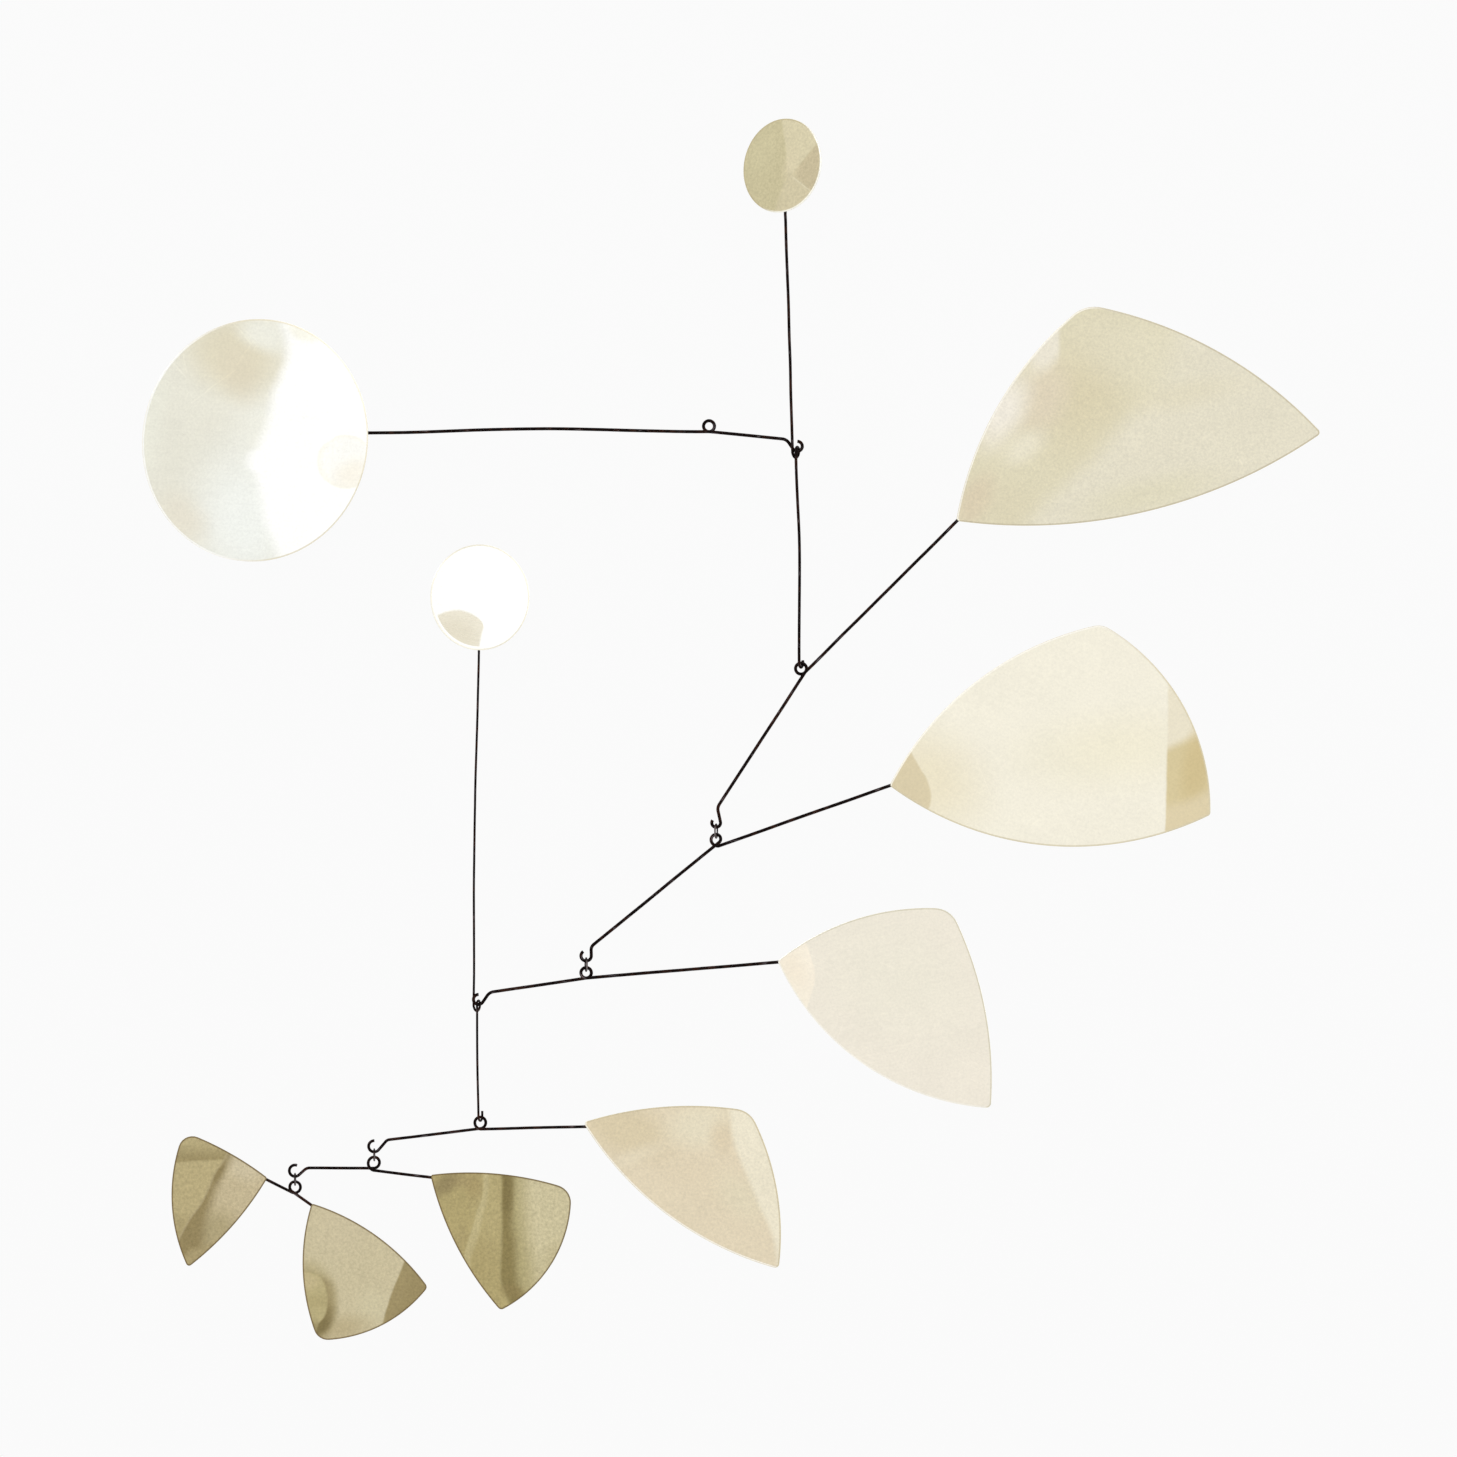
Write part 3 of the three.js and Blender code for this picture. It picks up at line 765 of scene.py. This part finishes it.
def brushed(p, colour, grain, angle, roughness, scratches):
    """Finishes a sheet's colour with a fine grain, brushing and a few scratches."""
    speckle = p.noise(600, 2, 0.7)
    brush = p.brush(angle, 0.030, 0.0013, 3, 0.6)
    cloud = p.noise(30, 3, 0.5)
    hairs = p.brush(angle + 38, 0.060, 0.0007, 1, 0.4)
    nicks = p.brush(angle - 57, 0.020, 0.0008, 1, 0.4)
    scratch = p.math("MAXIMUM", p.step(hairs, 0.69, 0.75), p.step(nicks, 0.71, 0.77))
    value = p.sum(0.93 - grain / 2, (speckle, grain), (brush, 0.07), (cloud, 0.07), (scratch, 0.05))
    for first, second in scratches:
        mark = p.stroke(first, second, 0.7)
        value = p.sum(value, (mark, 0.045))
        scratch = p.math("MAXIMUM", scratch, mark)
    rough = p.sum(roughness - 0.05, (brush, 0.10), (scratch, 0.10), (cloud, 0.06))
    height = p.sum(speckle, (brush, 0.5), (scratch, -0.8))
    return p.finish(colour, value, rough, height, 0.000009)


def bordered(p, colour, width, shade, light=None, light_direction=0):
    """A thin line painted along the sheet's outline: painted edge shade, and a painted highlight where the
    outline faces the light.
    """
    far, facing = p.edge(light_direction)
    line = p.step(far, width * 0.55, width * 1.3, 1, 0)
    tint = srgb(*shade)
    if light:
        tint = p.mix(p.step(facing, -0.1, 0.6), tint, srgb(*light))
    return p.mix(p.times(line, 0.85), colour, tint)


# Each sheet's tones, as the photograph shows them: the brass's own colour under painted reflections,
# highlights and shade

# Painted reflections on the polished disc: white is where it mirrors a bright light, and the paler and darker
# ovals are painted reflections over the cream ground
def disc_1_tones(p):
    white = p.right_of([
        (275, 300), (284, 326), (288, 350), (281, 373), (273, 398), (267, 425), (259, 446),
        (248, 462), (256, 475), (261, 495), (264, 515), (273, 540), (280, 562), (284, 580)], 9)
    # A round patch in the white, painted as a slightly duller reflection
    hollow_reflection = p.both(
        p.oval(346, 461, 29, 27, 15, 0.05),
        p.below([(300, 450), (330, 440), (344, 433), (372, 436)], 1.5))
    return p.lay(
        (229, 227, 213),
        (p.oval(292, 400, 46, 120, 12, 0.7), 0.8, (238, 238, 228)),
        (p.oval(236, 354, 48, 36, 25, 0.6), 1, (222, 215, 191)),
        (p.oval(240, 372, 16, 26, -15), 0.6, (219, 210, 187)),
        (p.oval(264, 335, 24, 14, 20, 0.6), 0.8, (237, 237, 226)),
        (p.oval(246, 522, 44, 62, -8), 1, (240, 242, 236)),
        (p.oval(182, 518, 18, 26, -35), 0.8, (228, 222, 205)),
        (p.oval(150, 420, 14, 50, 8), 0.6, (236, 236, 222)),
        (white, 1, (255, 255, 252)),
        (white, p.oval(304, 332, 16, 8, 20, 0.5), 0.8, (245, 243, 228)),
        (hollow_reflection, 1, (252, 251, 245)),
        (hollow_reflection, p.without(p.oval(347, 461, 26, 24, 15, 0.12)), 0.45, (247, 243, 228)),
        (hollow_reflection, p.oval(353, 474, 20, 14, -20, 0.7), 0.8, (246, 241, 227)),
    )


# Painted light on the bent disc: top, above, wedge and low are facets painted lighter and darker as the light
# falls on them, line is a thin painted highlight, and the ovals are painted reflections
def disc_2_tones(p):
    top = p.right_of([(781, 112), (784, 135), (786, 150), (787, 165), (788, 182)], 1.5)
    above = p.side((821, 138), (790, 176), 1.5)
    wedge = p.both(
        top, p.side((790, 176), (821, 138), 1.5), p.right_of([(799, 150), (794, 170), (808, 196)], 7))
    low = p.both(
        p.right_of([(787, 178), (779, 196), (773, 216)], 2.5), p.side((797, 178), (812, 192), 3))
    line = p.both(p.band((793, 177), (812, 192), 0.3, 0.9), p.right_of([(792, 160), (792, 200)], 3))
    return p.lay(
        (198, 189, 153),
        (top, above, 1, (211, 202, 170)),
        (wedge, 1, (197, 185, 153)),
        (p.oval(791, 167, 7, 16, 8), 0.6, (215, 204, 172)),
        (low, 1, (206, 196, 164)),
        (line, 0.35, (230, 223, 196)),
        (p.oval(760, 150, 16, 24, 20), 0.5, (206, 198, 162)),
        (p.oval(764, 200, 16, 12), 0.4, (199, 190, 154)),
    )


# Painted reflection: white where the disc mirrors a bright light, and a cream patch with a darker oval where
# it mirrors less, kept 2 mm in from the rim
def disc_3_tones(p):
    top = p.below([
        (430, 617), (438, 614.5), (445, 611.5), (457, 609.5), (466, 611), (474, 614.5), (481, 620),
        (484, 627), (486, 640)], 1.6)
    left = p.left_of([(482, 600), (484, 622), (482, 632), (480, 641), (479, 652)], 1.4)
    far, _ = p.edge()
    patch = p.both(top, left, p.step(far, 1.9, 2.6))
    return p.lay(
        (255, 255, 251),
        (patch, 1, (232, 226, 208)),
        (patch, p.oval(458, 632, 19, 13, 30, 0.6), 0.8, (224, 217, 197)),
    )


# Painted reflections on the polished leaf: the paler area beyond the diagonal, gleam and the pale ovals are
# painted highlights, the darker ovals painted shade
def leaf_1_tones(p):
    diagonal = p.right_of([
        (1176, 300), (1160, 380), (1122, 425), (1088, 462), (1040, 508), (1010, 540)], 20)
    gleam = p.both(p.oval(1046, 345, 16, 26, 24, 0.5), p.left_of([(1060, 310), (1060, 380)], 3))
    return p.lay(
        (222, 215, 187),
        (p.oval(1085, 385, 36, 60, 20), 0.8, (219, 209, 177)),
        (p.oval(1042, 398, 22, 34, 25, 0.7), 0.8, (224, 212, 188)),
        (diagonal, 1, (228, 222, 201)),
        (p.oval(1130, 350, 60, 34, 20, 0.7), 0.6, (227, 221, 197)),
        (p.oval(1150, 495, 60, 16, -14), 0.6, (221, 215, 186)),
        (p.oval(1180, 395, 50, 12, -12, 0.9), 0.5, (224, 216, 188)),
        (p.oval(1003, 410, 18, 34, 28), 0.95, (241, 235, 222)),
        (gleam, 0.9, (236, 230, 214)),
        (p.oval(1024, 446, 20, 12, -35), 0.8, (234, 228, 207)),
        (p.oval(975, 500, 26, 14, -60, 0.7), 0.9, (218, 205, 178)),
        (p.oval(1006, 508, 22, 26, 20), 0.4, (218, 209, 180)),
    )


# Painted light on the bent leaf: tip, the part past the fold, is painted as shade, darkest across its middle;
# stem is a darker painted reflection by the stem corner, and the ovals are painted reflections
def leaf_2_tones(p):
    tip = p.right_of([(1170, 655), (1168, 700), (1167, 760), (1166, 820), (1164, 850)], 1.6)
    dark_tip = p.below([(1160, 752), (1180, 742), (1196, 736), (1215, 732)], 7)
    stem = p.left_of([(905, 738), (911, 751), (920, 768), (928, 783), (931, 797), (926, 812)], 1.6)
    return p.lay(
        (242, 237, 220),
        (p.oval(1120, 748, 80, 30, -6, 0.9), 0.9, (240, 234, 211)),
        (p.oval(925, 780, 52, 42, 30), 0.9, (234, 225, 198)),
        (stem, 1, (218, 205, 172)),
        (tip, 1, (234, 226, 203)),
        (tip, dark_tip, 1, (215, 200, 157)),
        (tip, p.oval(1196, 765, 13, 34, 10, 0.6), 0.9, (210, 192, 145)),
        (tip, p.below([(1160, 806), (1186, 800), (1215, 785)], 7), 0.8, (223, 209, 175)),
    )


# Painted reflection: stem is a paler patch by the stem corner, and the ovals slightly darker painted
# reflections
def leaf_3_tones(p):
    stem = p.left_of([(803, 925), (806, 941), (811, 957), (815, 975), (812, 991), (805, 1010)], 1.2)
    return p.lay(
        (239, 232, 217),
        (p.oval(900, 980, 70, 50, 30, 0.9), 0.5, (236, 232, 214)),
        (stem, 1, (248, 239, 221)),
        (stem, p.oval(794, 968, 10, 18, -30), 0.7, (243, 232, 212)),
    )


# Painted light: light is the facet past the fold, painted paler as a reflection, and the ovals are painted
# reflections, lighter and darker
def leaf_4_tones(p):
    light = p.right_of([
        (726, 1095), (730, 1115), (732, 1135), (745, 1170), (760, 1206), (773, 1236), (777, 1262)], 4)
    return p.lay(
        (223, 210, 183),
        (p.oval(625, 1128, 46, 24, 20, 0.6), 0.9, (215, 201, 169)),
        (p.oval(700, 1125, 30, 20, -10, 0.7), 0.9, (229, 220, 194)),
        (p.oval(722, 1136, 10, 14), 0.8, (218, 203, 174)),
        (p.oval(690, 1172, 44, 16, 28), 0.4, (220, 206, 178)),
        (p.oval(742, 1196, 26, 16, 40), 0.5, (224, 216, 188)),
        (p.oval(635, 1156, 30, 7, -22, 0.9), 0.6, (227, 216, 190)),
        (light, 1, (234, 226, 203)),
        (light, p.oval(752, 1130, 14, 26, -15), 0.5, (236, 229, 207)),
    )


# Painted light on the folded leaf: right is the facet past the fold, far_right its paler painted reflection,
# near a band of painted shade beside the fold; streak is a painted highlight and the ovals painted
# reflections, lighter and darker
def leaf_5_tones(p):
    right = p.right_of([
        (502, 1165), (502, 1200), (502, 1240), (500.5, 1272), (505, 1290), (514, 1310)], 2.3)
    far_right = p.right_of([(524, 1165), (526, 1220), (531, 1250), (538, 1300)], 12)
    near = p.left_of([(512, 1165), (512, 1215), (516, 1245), (517, 1270), (524, 1305)], 7)
    streak = p.both(
        p.right_of([(483, 1165), (483, 1190), (476, 1214), (468, 1240), (463, 1258)], 1.5),
        p.left_of([(489, 1165), (488, 1195), (483, 1215), (477, 1240), (471, 1258)], 2.5))
    return p.lay(
        (176, 162, 115),
        (p.oval(490, 1205, 14, 50, 0, 0.7), 0.7, (182, 169, 124)),
        (p.oval(475, 1184, 8, 13), 0.7, (168, 151, 106)),
        (streak, 0.8, (193, 181, 138)),
        (p.oval(446, 1183, 16, 8, -38, 0.6), 1, (151, 137, 98)),
        (p.oval(462, 1180, 10, 7), 0.6, (163, 147, 106)),
        (p.oval(460, 1240, 5, 14, 15), 0.6, (168, 153, 110)),
        (p.oval(482, 1258, 14, 22, 15), 0.5, (171, 156, 110)),
        (right, 1, (178, 167, 124)),
        (right, far_right, 1, (203, 193, 157)),
        (right, p.oval(556, 1262, 14, 22, 25, 0.7), 0.7, (191, 180, 141)),
        (right, near, 1, (141, 128, 85)),
        (right, p.oval(507, 1190, 6, 26, 0, 0.6), 0.9, (131, 118, 78)),
        (p.oval(514, 1292, 13, 7, 25, 0.6), 0.8, (143, 128, 86)),
    )


# Painted light on the folded leaf: beyond is the facet past the fold, painted paler as a reflection, with a
# band of painted shade along the fold; above is a band of painted shade near the top, tip a darker painted
# reflection, and the ovals painted reflections
def leaf_6_tones(p):
    beyond = p.right_of([
        (233, 1130), (227, 1153), (222, 1163), (215, 1174), (208, 1190), (199, 1206), (189, 1220),
        (180, 1236), (171, 1256)], 2.2)
    short = p.without(beyond)
    fading = p.left_of([
        (240, 1130), (232, 1153), (226, 1168), (221, 1176), (216, 1190), (211, 1205), (206, 1222),
        (204, 1240), (203, 1262)], 8)
    tip = p.below([(168, 1260), (183, 1256), (190, 1249), (200, 1247), (215, 1240)], 4)
    above = p.both(
        short, p.without(p.below([(160, 1163), (200, 1160), (230, 1158)], 1.6)),
        p.below([(160, 1150), (230, 1149)], 10))
    return p.lay(
        (184, 170, 128),
        (p.oval(188, 1145, 14, 8), 0.4, (178, 165, 124)),
        (above, 0.95, (156, 142, 102)),
        (short, p.oval(182, 1228, 9, 12, 20, 0.7), 0.8, (169, 155, 114)),
        (beyond, 1, (196, 182, 148)),
        (beyond, p.oval(243, 1166, 18, 12, 30, 0.7), 0.8, (205, 193, 163)),
        (beyond, p.oval(214, 1236, 20, 26, 20, 0.6), 0.85, (171, 158, 120)),
        (beyond, fading, 1, (149, 134, 95)),
        (beyond, p.oval(219, 1172, 4, 11, 22, 0.7), 0.7, (139, 124, 85)),
        (tip, 0.95, (171, 156, 116)),
    )


# Painted light on the folded leaf: tip, past the fold, is painted as shade; foot is a paler lobe by the stem
# with painted shade on its lower part
def leaf_7_tones(p):
    tip = p.right_of([(410, 1245), (404, 1262), (390, 1298), (381, 1330)], 1.3)
    foot = p.both(
        p.below([(295, 1273), (306, 1272), (316, 1274), (323, 1281)], 1.6),
        p.left_of([(318, 1260), (323, 1280), (327, 1297), (326, 1310), (317, 1326), (312, 1345)], 1.5))
    # A ring of painted shade round the foot, darker towards its lower part
    foot_shade = p.oval(306, 1300, 29, 39, 0, 0.25)
    return p.lay(
        (201, 190, 157),
        (p.oval(342, 1226, 24, 24, 20), 0.4, (204, 192, 162)),
        (p.oval(374, 1308, 15, 18, -20), 0.7, (206, 197, 164)),
        (p.oval(336, 1328, 30, 12, -8), 0.9, (186, 172, 135)),
        (tip, 1, (159, 144, 104)),
        (tip, p.right_of([(420, 1245), (412, 1270), (394, 1330)], 6), 0.9, (155, 140, 100)),
        (foot_shade, 0.9, (181, 169, 130)),
        (foot_shade, p.below([(280, 1268), (345, 1280)], 7), 0.9, (160, 146, 106)),
        (foot_shade, p.below([(280, 1302), (345, 1306)], 9), 1, (142, 128, 89)),
        (p.oval(322, 1325, 10, 6, -45, 0.7), 0.9, (131, 118, 80)),
        (foot, 1, (184, 172, 128)),
        (foot, p.oval(307, 1280, 13, 8, 0, 0.7), 0.8, (194, 180, 140)),
        (foot, p.band((302, 1301), (328, 1300), 3, 5), 0.4, (168, 155, 112)),
        (foot, p.oval(316, 1329, 14, 7, 20, 0.7), 0.8, (148, 134, 94)),
    )


def rim_brass(name, colour, roughness):
    p = Paint(name, 1.0, roughness)
    nicks = p.noise(700, 2, 0.6)
    rough = p.sum(roughness - 0.1, (nicks, 0.2))
    return p.finish(colour, p.sum(0.91, (nicks, 0.18)), rough, nicks, 0.00001)


def steel(name, worn_gleam_from, worn_gleam_to, worn_gleam_colour):
    """Darkened steel wire with short pale streaks that run along it, partly worn bare and partly painted
    highlight.
    """
    p = Paint(name, 0.0, 0.34)
    run = p.node("ShaderNodeAttribute")
    run.attribute_name = "run"
    stretch = p.node("ShaderNodeMapping", Vector=run.outputs["Vector"], Scale=(150, 1.1, 1.1))
    streak = p.noise(1, 3, 0.6, stretch.outputs[0])
    worn_gleam = p.step(streak, worn_gleam_from, worn_gleam_to)
    fine = p.noise(1300, 2, 0.6)
    patina = p.noise(160, 3, 0.6)
    colour = p.mix(p.step(patina, 0.48, 0.66, 0, 0.8), srgb(14, 6, 5), srgb(50, 28, 20))
    colour = p.mix(p.times(worn_gleam, 0.8), colour, srgb(*worn_gleam_colour))
    p.shader.inputs["Specular IOR Level"].default_value = 0.03
    rough = p.sum(0.24, (fine, 0.22))
    return p.finish(colour, None, rough, p.sum(fine, (streak, 1.5)), 0.00003)


def solder_metal():
    p = Paint("solder", 1.0, 0.42)
    fine = p.noise(900, 3, 0.6)
    dull = p.step(p.noise(240, 2, 0.5), 0.4, 0.65)
    colour = p.mix(dull, srgb(172, 168, 158), srgb(120, 112, 98))
    return p.finish(colour, None, p.sum(0.3, (fine, 0.3)), fine, 0.00006)


def plain_floor():
    p = Paint("floor", 0.0, 0.8)
    colour = p.mix(p.noise(3, 3, 0.5), (0.86, 0.86, 0.855, 1), (0.89, 0.89, 0.885, 1))
    away = p.node("ShaderNodeVectorMath", Vector=p.place)
    away.operation = "LENGTH"
    outer = p.step(away.outputs["Value"], *FLOOR_FADE)
    return p.finish(p.mix(outer, colour, (0.97, 0.97, 0.97, 1)))


# How far each sheet is bent forward, in millimetres, at a pixel of the photograph

def ease(value, low, high):
    t = min(max((value - low) / (high - low), 0), 1)
    return t * t * (3 - 2 * t)


def fold(u, v, first, second, round_px):
    """Distance from a fold line, blunt near the line, in pixels."""
    (u1, v1), (u2, v2) = first, second
    length = math.hypot(u2 - u1, v2 - v1)
    reach = ((u - u1) * -(v2 - v1) + (v - v1) * (u2 - u1)) / length
    return math.sqrt(reach * reach + round_px * round_px) - round_px


RELIEFS = {
    "disc_1": lambda u, v: 0.5 - 0.006 * fold(u, v, (285, 330), (258, 540), 14),
    "disc_2": lambda u, v: 0.5 - 0.007 * fold(u, v, (785, 118), (788, 176), 4)
    - 0.004 * fold(u, v, (819, 140), (776, 208), 5),
    "disc_3": lambda u, v: 0.3 - 0.006 * fold(u, v, (436, 615), (486, 640), 8),
    "leaf_1": lambda u, v: 0.45 * math.sin((u - 960) / 120) * math.sin((v - 300) / 110),
    "leaf_2": lambda u, v: 0.25 - 0.006 * max(0, u - 1166 + 6 * ease(u, 1160, 1172)),
    "leaf_3": lambda u, v: 0.3 * math.sin((u - 780) / 90),
    "leaf_4": lambda u, v: 0.3 - 0.005 * fold(u, v, (722, 1100), (756, 1275), 16),
    "leaf_5": lambda u, v: 0.4 - 0.011 * fold(u, v, (504, 1170), (504, 1310), 5)
    + 0.25 * ease(u, 495, 530),
    "leaf_6": lambda u, v: 0.35 - 0.010 * fold(u, v, (228, 1150), (196, 1262), 6),
    "leaf_7": lambda u, v: 0.3 - 0.009 * fold(u, v, (408, 1258), (384, 1322), 4),
}

PALE_RIM = srgb(246, 243, 232)
TAN_RIM = srgb(214, 204, 172)
DARK_RIM = srgb(120, 104, 72)
BRIGHT, WARM, OLIVE = "bright_brass", "warm_brass", "olive_brass"

# Each sheet's tones, painted reflection and shade over its own colour, and their waver in pixels, its grain,
# brushing angle and roughness, the painted line of edge shade and highlight (see bordered), its rim's colour
# and roughness, and its slot
SURFACES = {
    "disc_1": (
        disc_1_tones, 4, 0.22, 4, 0.27, (0.9, (222, 214, 190), (255, 255, 252), 190), PALE_RIM, 0.25, BRIGHT),
    "disc_2": (
        disc_2_tones, 2, 0.50, -35, 0.3, (0.8, (190, 178, 142), (252, 250, 240), -30), PALE_RIM, 0.25, WARM),
    "disc_3": (
        disc_3_tones, 1.5, 0.14, 10, 0.25, (0.8, (226, 220, 200), (250, 244, 228), 200),
        PALE_RIM, 0.25, BRIGHT),
    "leaf_1": (
        leaf_1_tones, 6, 0.36, 14, 0.32, (0.8, (196, 186, 160), (250, 247, 238), 160), TAN_RIM, 0.3, WARM),
    "leaf_2": (
        leaf_2_tones, 2.5, 0.20, 30, 0.3, (0.8, (214, 204, 176), (250, 247, 238), 130), TAN_RIM, 0.3, BRIGHT),
    "leaf_3": (
        leaf_3_tones, 2, 0.20, -12, 0.3, (0.8, (206, 200, 176), (246, 242, 232), 200), PALE_RIM, 0.3, BRIGHT),
    "leaf_4": (
        leaf_4_tones, 4, 0.38, 20, 0.31, (0.8, (200, 188, 158), (250, 246, 236), 215), TAN_RIM, 0.3, WARM),
    "leaf_5": (leaf_5_tones, 2.5, 0.72, 80, 0.36, (0.75, (116, 98, 66)), DARK_RIM, 0.35, OLIVE),
    "leaf_6": (leaf_6_tones, 2.5, 0.68, 70, 0.36, (0.75, (116, 98, 66)), DARK_RIM, 0.35, OLIVE),
    "leaf_7": (leaf_7_tones, 2, 0.52, 60, 0.35, (0.75, (120, 102, 70)), DARK_RIM, 0.35, OLIVE),
}

# The scratches that stand out, from pixel to pixel
SCRATCHES = {
    "disc_1": [
        ((236, 368), (258, 335)), ((190, 405), (214, 385)), ((172, 360), (190, 381)),
        ((206, 392), (240, 366)), ((183, 352), (187, 372)), ((240, 328), (252, 345)),
    ],
    "leaf_1": [
        ((1027, 458), (1036, 471)), ((1237, 454), (1246, 470)), ((1048, 494), (1052, 501)),
        ((982, 479), (987, 488)), ((1070, 459), (1073, 464)), ((984, 495), (985, 503)),
    ],
}


def sheet_brass(name):
    tones, waver, grain, brushing, rough, edge_line = SURFACES[name][:6]
    p = Paint(f"{name}_brass", 1.0, rough, waver)
    colour = bordered(p, tones(p), *edge_line)
    return brushed(p, colour, grain, brushing, rough, SCRATCHES.get(name, ()))


# The pieces, hung one below another

# The wires' pale streaks are partly bare wear and partly painted highlight; the rings have more of them, and
# paler
STEEL = steel("dark_steel", 0.59, 0.72, (112, 102, 106))
RING_STEEL = steel("ring_steel", 0.40, 0.62, (128, 120, 120))
SOLDER = solder_metal()


def own(obj, node, body, slot, *materials):
    for material in materials:
        obj.data.materials.append(material)
    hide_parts(node)
    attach(obj, body)


def disc_turn(disc):
    lean = math.radians(disc["lean"])
    return Quaternion(Vector((math.sin(lean), 0, math.cos(lean))), math.radians(disc["turn"]))


def make_plate(name, body, origin, crossing, wire):
    at, outward = crossing
    lift = wire / 2 + SOLDER_GAP
    if name in DISCS:
        disc = DISCS[name]
        turn = disc_turn(disc)
        centre = polar(math.radians(disc["centre"])) * disc["radius"]
        outline = circle_outline(centre, disc["radius"])
    else:
        turn = Quaternion(outward, math.radians(LEAVES[name]["turn"]))
        outline = leaf_outline(LEAVES[name])

    def place(across, depth, up):
        return origin + at + turn @ Vector((across, -lift - depth, up))

    rim_colour, rim_rough, slot = SURFACES[name][6:]
    obj = plate(f"{name}_sheet", outline, place, RELIEFS[name])
    own(obj, name, body, slot, sheet_brass(name), rim_brass(f"{name}_rim", rim_colour, rim_rough))
    return turn @ Vector((0, -1, 0))


def fit_plate(name, body, origin, crossing, wire):
    """The sheet, the solder and the wire's tail behind them, which it returns."""
    direction, length = crossing[1], LEAF_TAIL
    if name in DISCS:
        x, z = polar(math.radians(DISCS[name]["tail"]))
        direction, length = disc_turn(DISCS[name]) @ Vector((x, 0, z)), DISC_TAIL
    tail = [origin + point for point in tail_points(crossing, direction, length)]
    toward = make_plate(name, body, origin, crossing, wire)
    mound = solder(f"{name}_solder", [tail[0].lerp(tail[1], 0.1), *tail[1:4]], wire, toward)
    mound.data.materials.append(SOLDER)
    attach(mound, body)
    return tail


def make_ring(name, body, middle, seed):
    ring = RINGS[name]
    radius = line_radius(ring, RING_WIRE)
    turn = Quaternion(UP, math.radians(ring["turn"]))
    points = []
    for step in range(RING_STEPS):
        y, z = polar(FULL_TURN * step / RING_STEPS) * radius
        points.append(middle + turn @ Vector((0, y, z)))
    obj = tube(f"{name}_wire", points, RING_WIRE / 2, seed, closed=True)
    own(obj, name, body, "wire", RING_STEEL)


def build():
    origin = Vector((0, 0, 0))
    for seed, (arm_name, body, plates, ring_name) in enumerate(CHAIN):
        arm = ARMS[arm_name]
        wire = arm["wire"]
        line = arm_line(arm, 10 * seed + 3)
        route = fit_plate(plates[0], body, origin, line["start"], wire)
        route += [origin + point for point in line["points"][1:]]
        if "end" in line:
            route[-1:] = fit_plate(plates[1], body, origin, line["end"], wire)[::-1]
        own(tube(f"{arm_name}_wire", route, wire / 2, seed), arm_name, body, "wire", STEEL)
        if "hook_bottom" not in line:
            continue

        bottom = origin + line["hook_bottom"]
        below = ARMS[CHAIN[seed + 1][0]]
        rise = (wire + below["wire"]) / 2
        if ring_name:
            ring_radius = line_radius(RINGS[ring_name], RING_WIRE)
            ring_rise = (wire + RING_WIRE) / 2 + HOOK_TO_RING_GAP - ring_radius
            make_ring(ring_name, body, bottom + UP * ring_rise, seed + 0.5)
            rise = ring_rise - ring_radius + (RING_WIRE + below["wire"]) / 2
        origin = bottom + UP * (rise + EYE_GAP - line_radius(below["eye"], below["wire"]))


# The camera, at the photograph's straight-on angle
half_width = PHOTO_SIDE * PX / 2
camera_data = bpy.data.cameras.new("camera")
camera_data.sensor_width = SENSOR
camera_data.lens = SENSOR / 2 * CAMERA_DISTANCE / half_width
camera_data.clip_start = 0.5
camera_data.clip_end = 100
camera = bpy.data.objects.new("camera", camera_data)
camera.location = Vector((
    (PHOTO_SIDE / 2 - ORIGIN_U) * PX, -CAMERA_DISTANCE, (ORIGIN_V - PHOTO_SIDE / 2) * PX + CAMERA_LIFT,
)) * MM
camera.rotation_euler = (QUARTER, 0, 0)
bpy.context.scene.collection.objects.link(camera)
bpy.context.scene.camera = camera

build()


# The floor, well below the lowest leaf
floor_mesh = bpy.data.meshes.new("floor")
floor_edge = [polar(FULL_TURN * k / FLOOR_SIDES) * FLOOR_RADIUS for k in range(FLOOR_SIDES)]
floor_mesh.from_pydata([(x, y, FLOOR_HEIGHT) for x, y in floor_edge], [], [range(FLOOR_SIDES)])
floor_mesh.materials.append(plain_floor())
floor = bpy.data.objects.new("floor", floor_mesh)
bpy.context.scene.collection.objects.link(floor)


# The light: a white studio, a little dimmer behind and below, and two large soft boxes in front
world = bpy.data.worlds.new("studio")
bpy.context.scene.world = world
world.use_nodes = True
studio = Nodes(world.node_tree)
heading = studio.parts(studio.node("ShaderNodeTexCoord").outputs["Generated"])
behind = studio.step(heading["Y"], 0.1, 0.9, 1.0, 0.965)
low = studio.step(heading["Z"], -0.9, 0.1, 0.82, 1.0)
backdrop = world.node_tree.nodes["Background"]
studio.fill(backdrop.inputs["Color"], (1, 1, 1, 1))
studio.fill(backdrop.inputs["Strength"], studio.math("MULTIPLY", behind, low))


def soft_box(name, place, size, power):
    data = bpy.data.lights.new(name, "AREA")
    data.shape = "RECTANGLE"
    data.size, data.size_y = size
    data.energy = power
    lamp = bpy.data.objects.new(name, data)
    lamp.location = place
    lamp.rotation_mode = "QUATERNION"
    aim = Vector(LIGHT_TARGET) - Vector(place)
    lamp.rotation_quaternion = aim.to_track_quat("-Z", "Y")
    bpy.context.scene.collection.objects.link(lamp)


soft_box("key", (-1.6, -2.2, 1.8), (1.4, 1.4), 18)
soft_box("fill", (2.4, -1.4, 0.6), (1.0, 1.8), 7)

bpy.context.scene.view_settings.view_transform = "Standard"
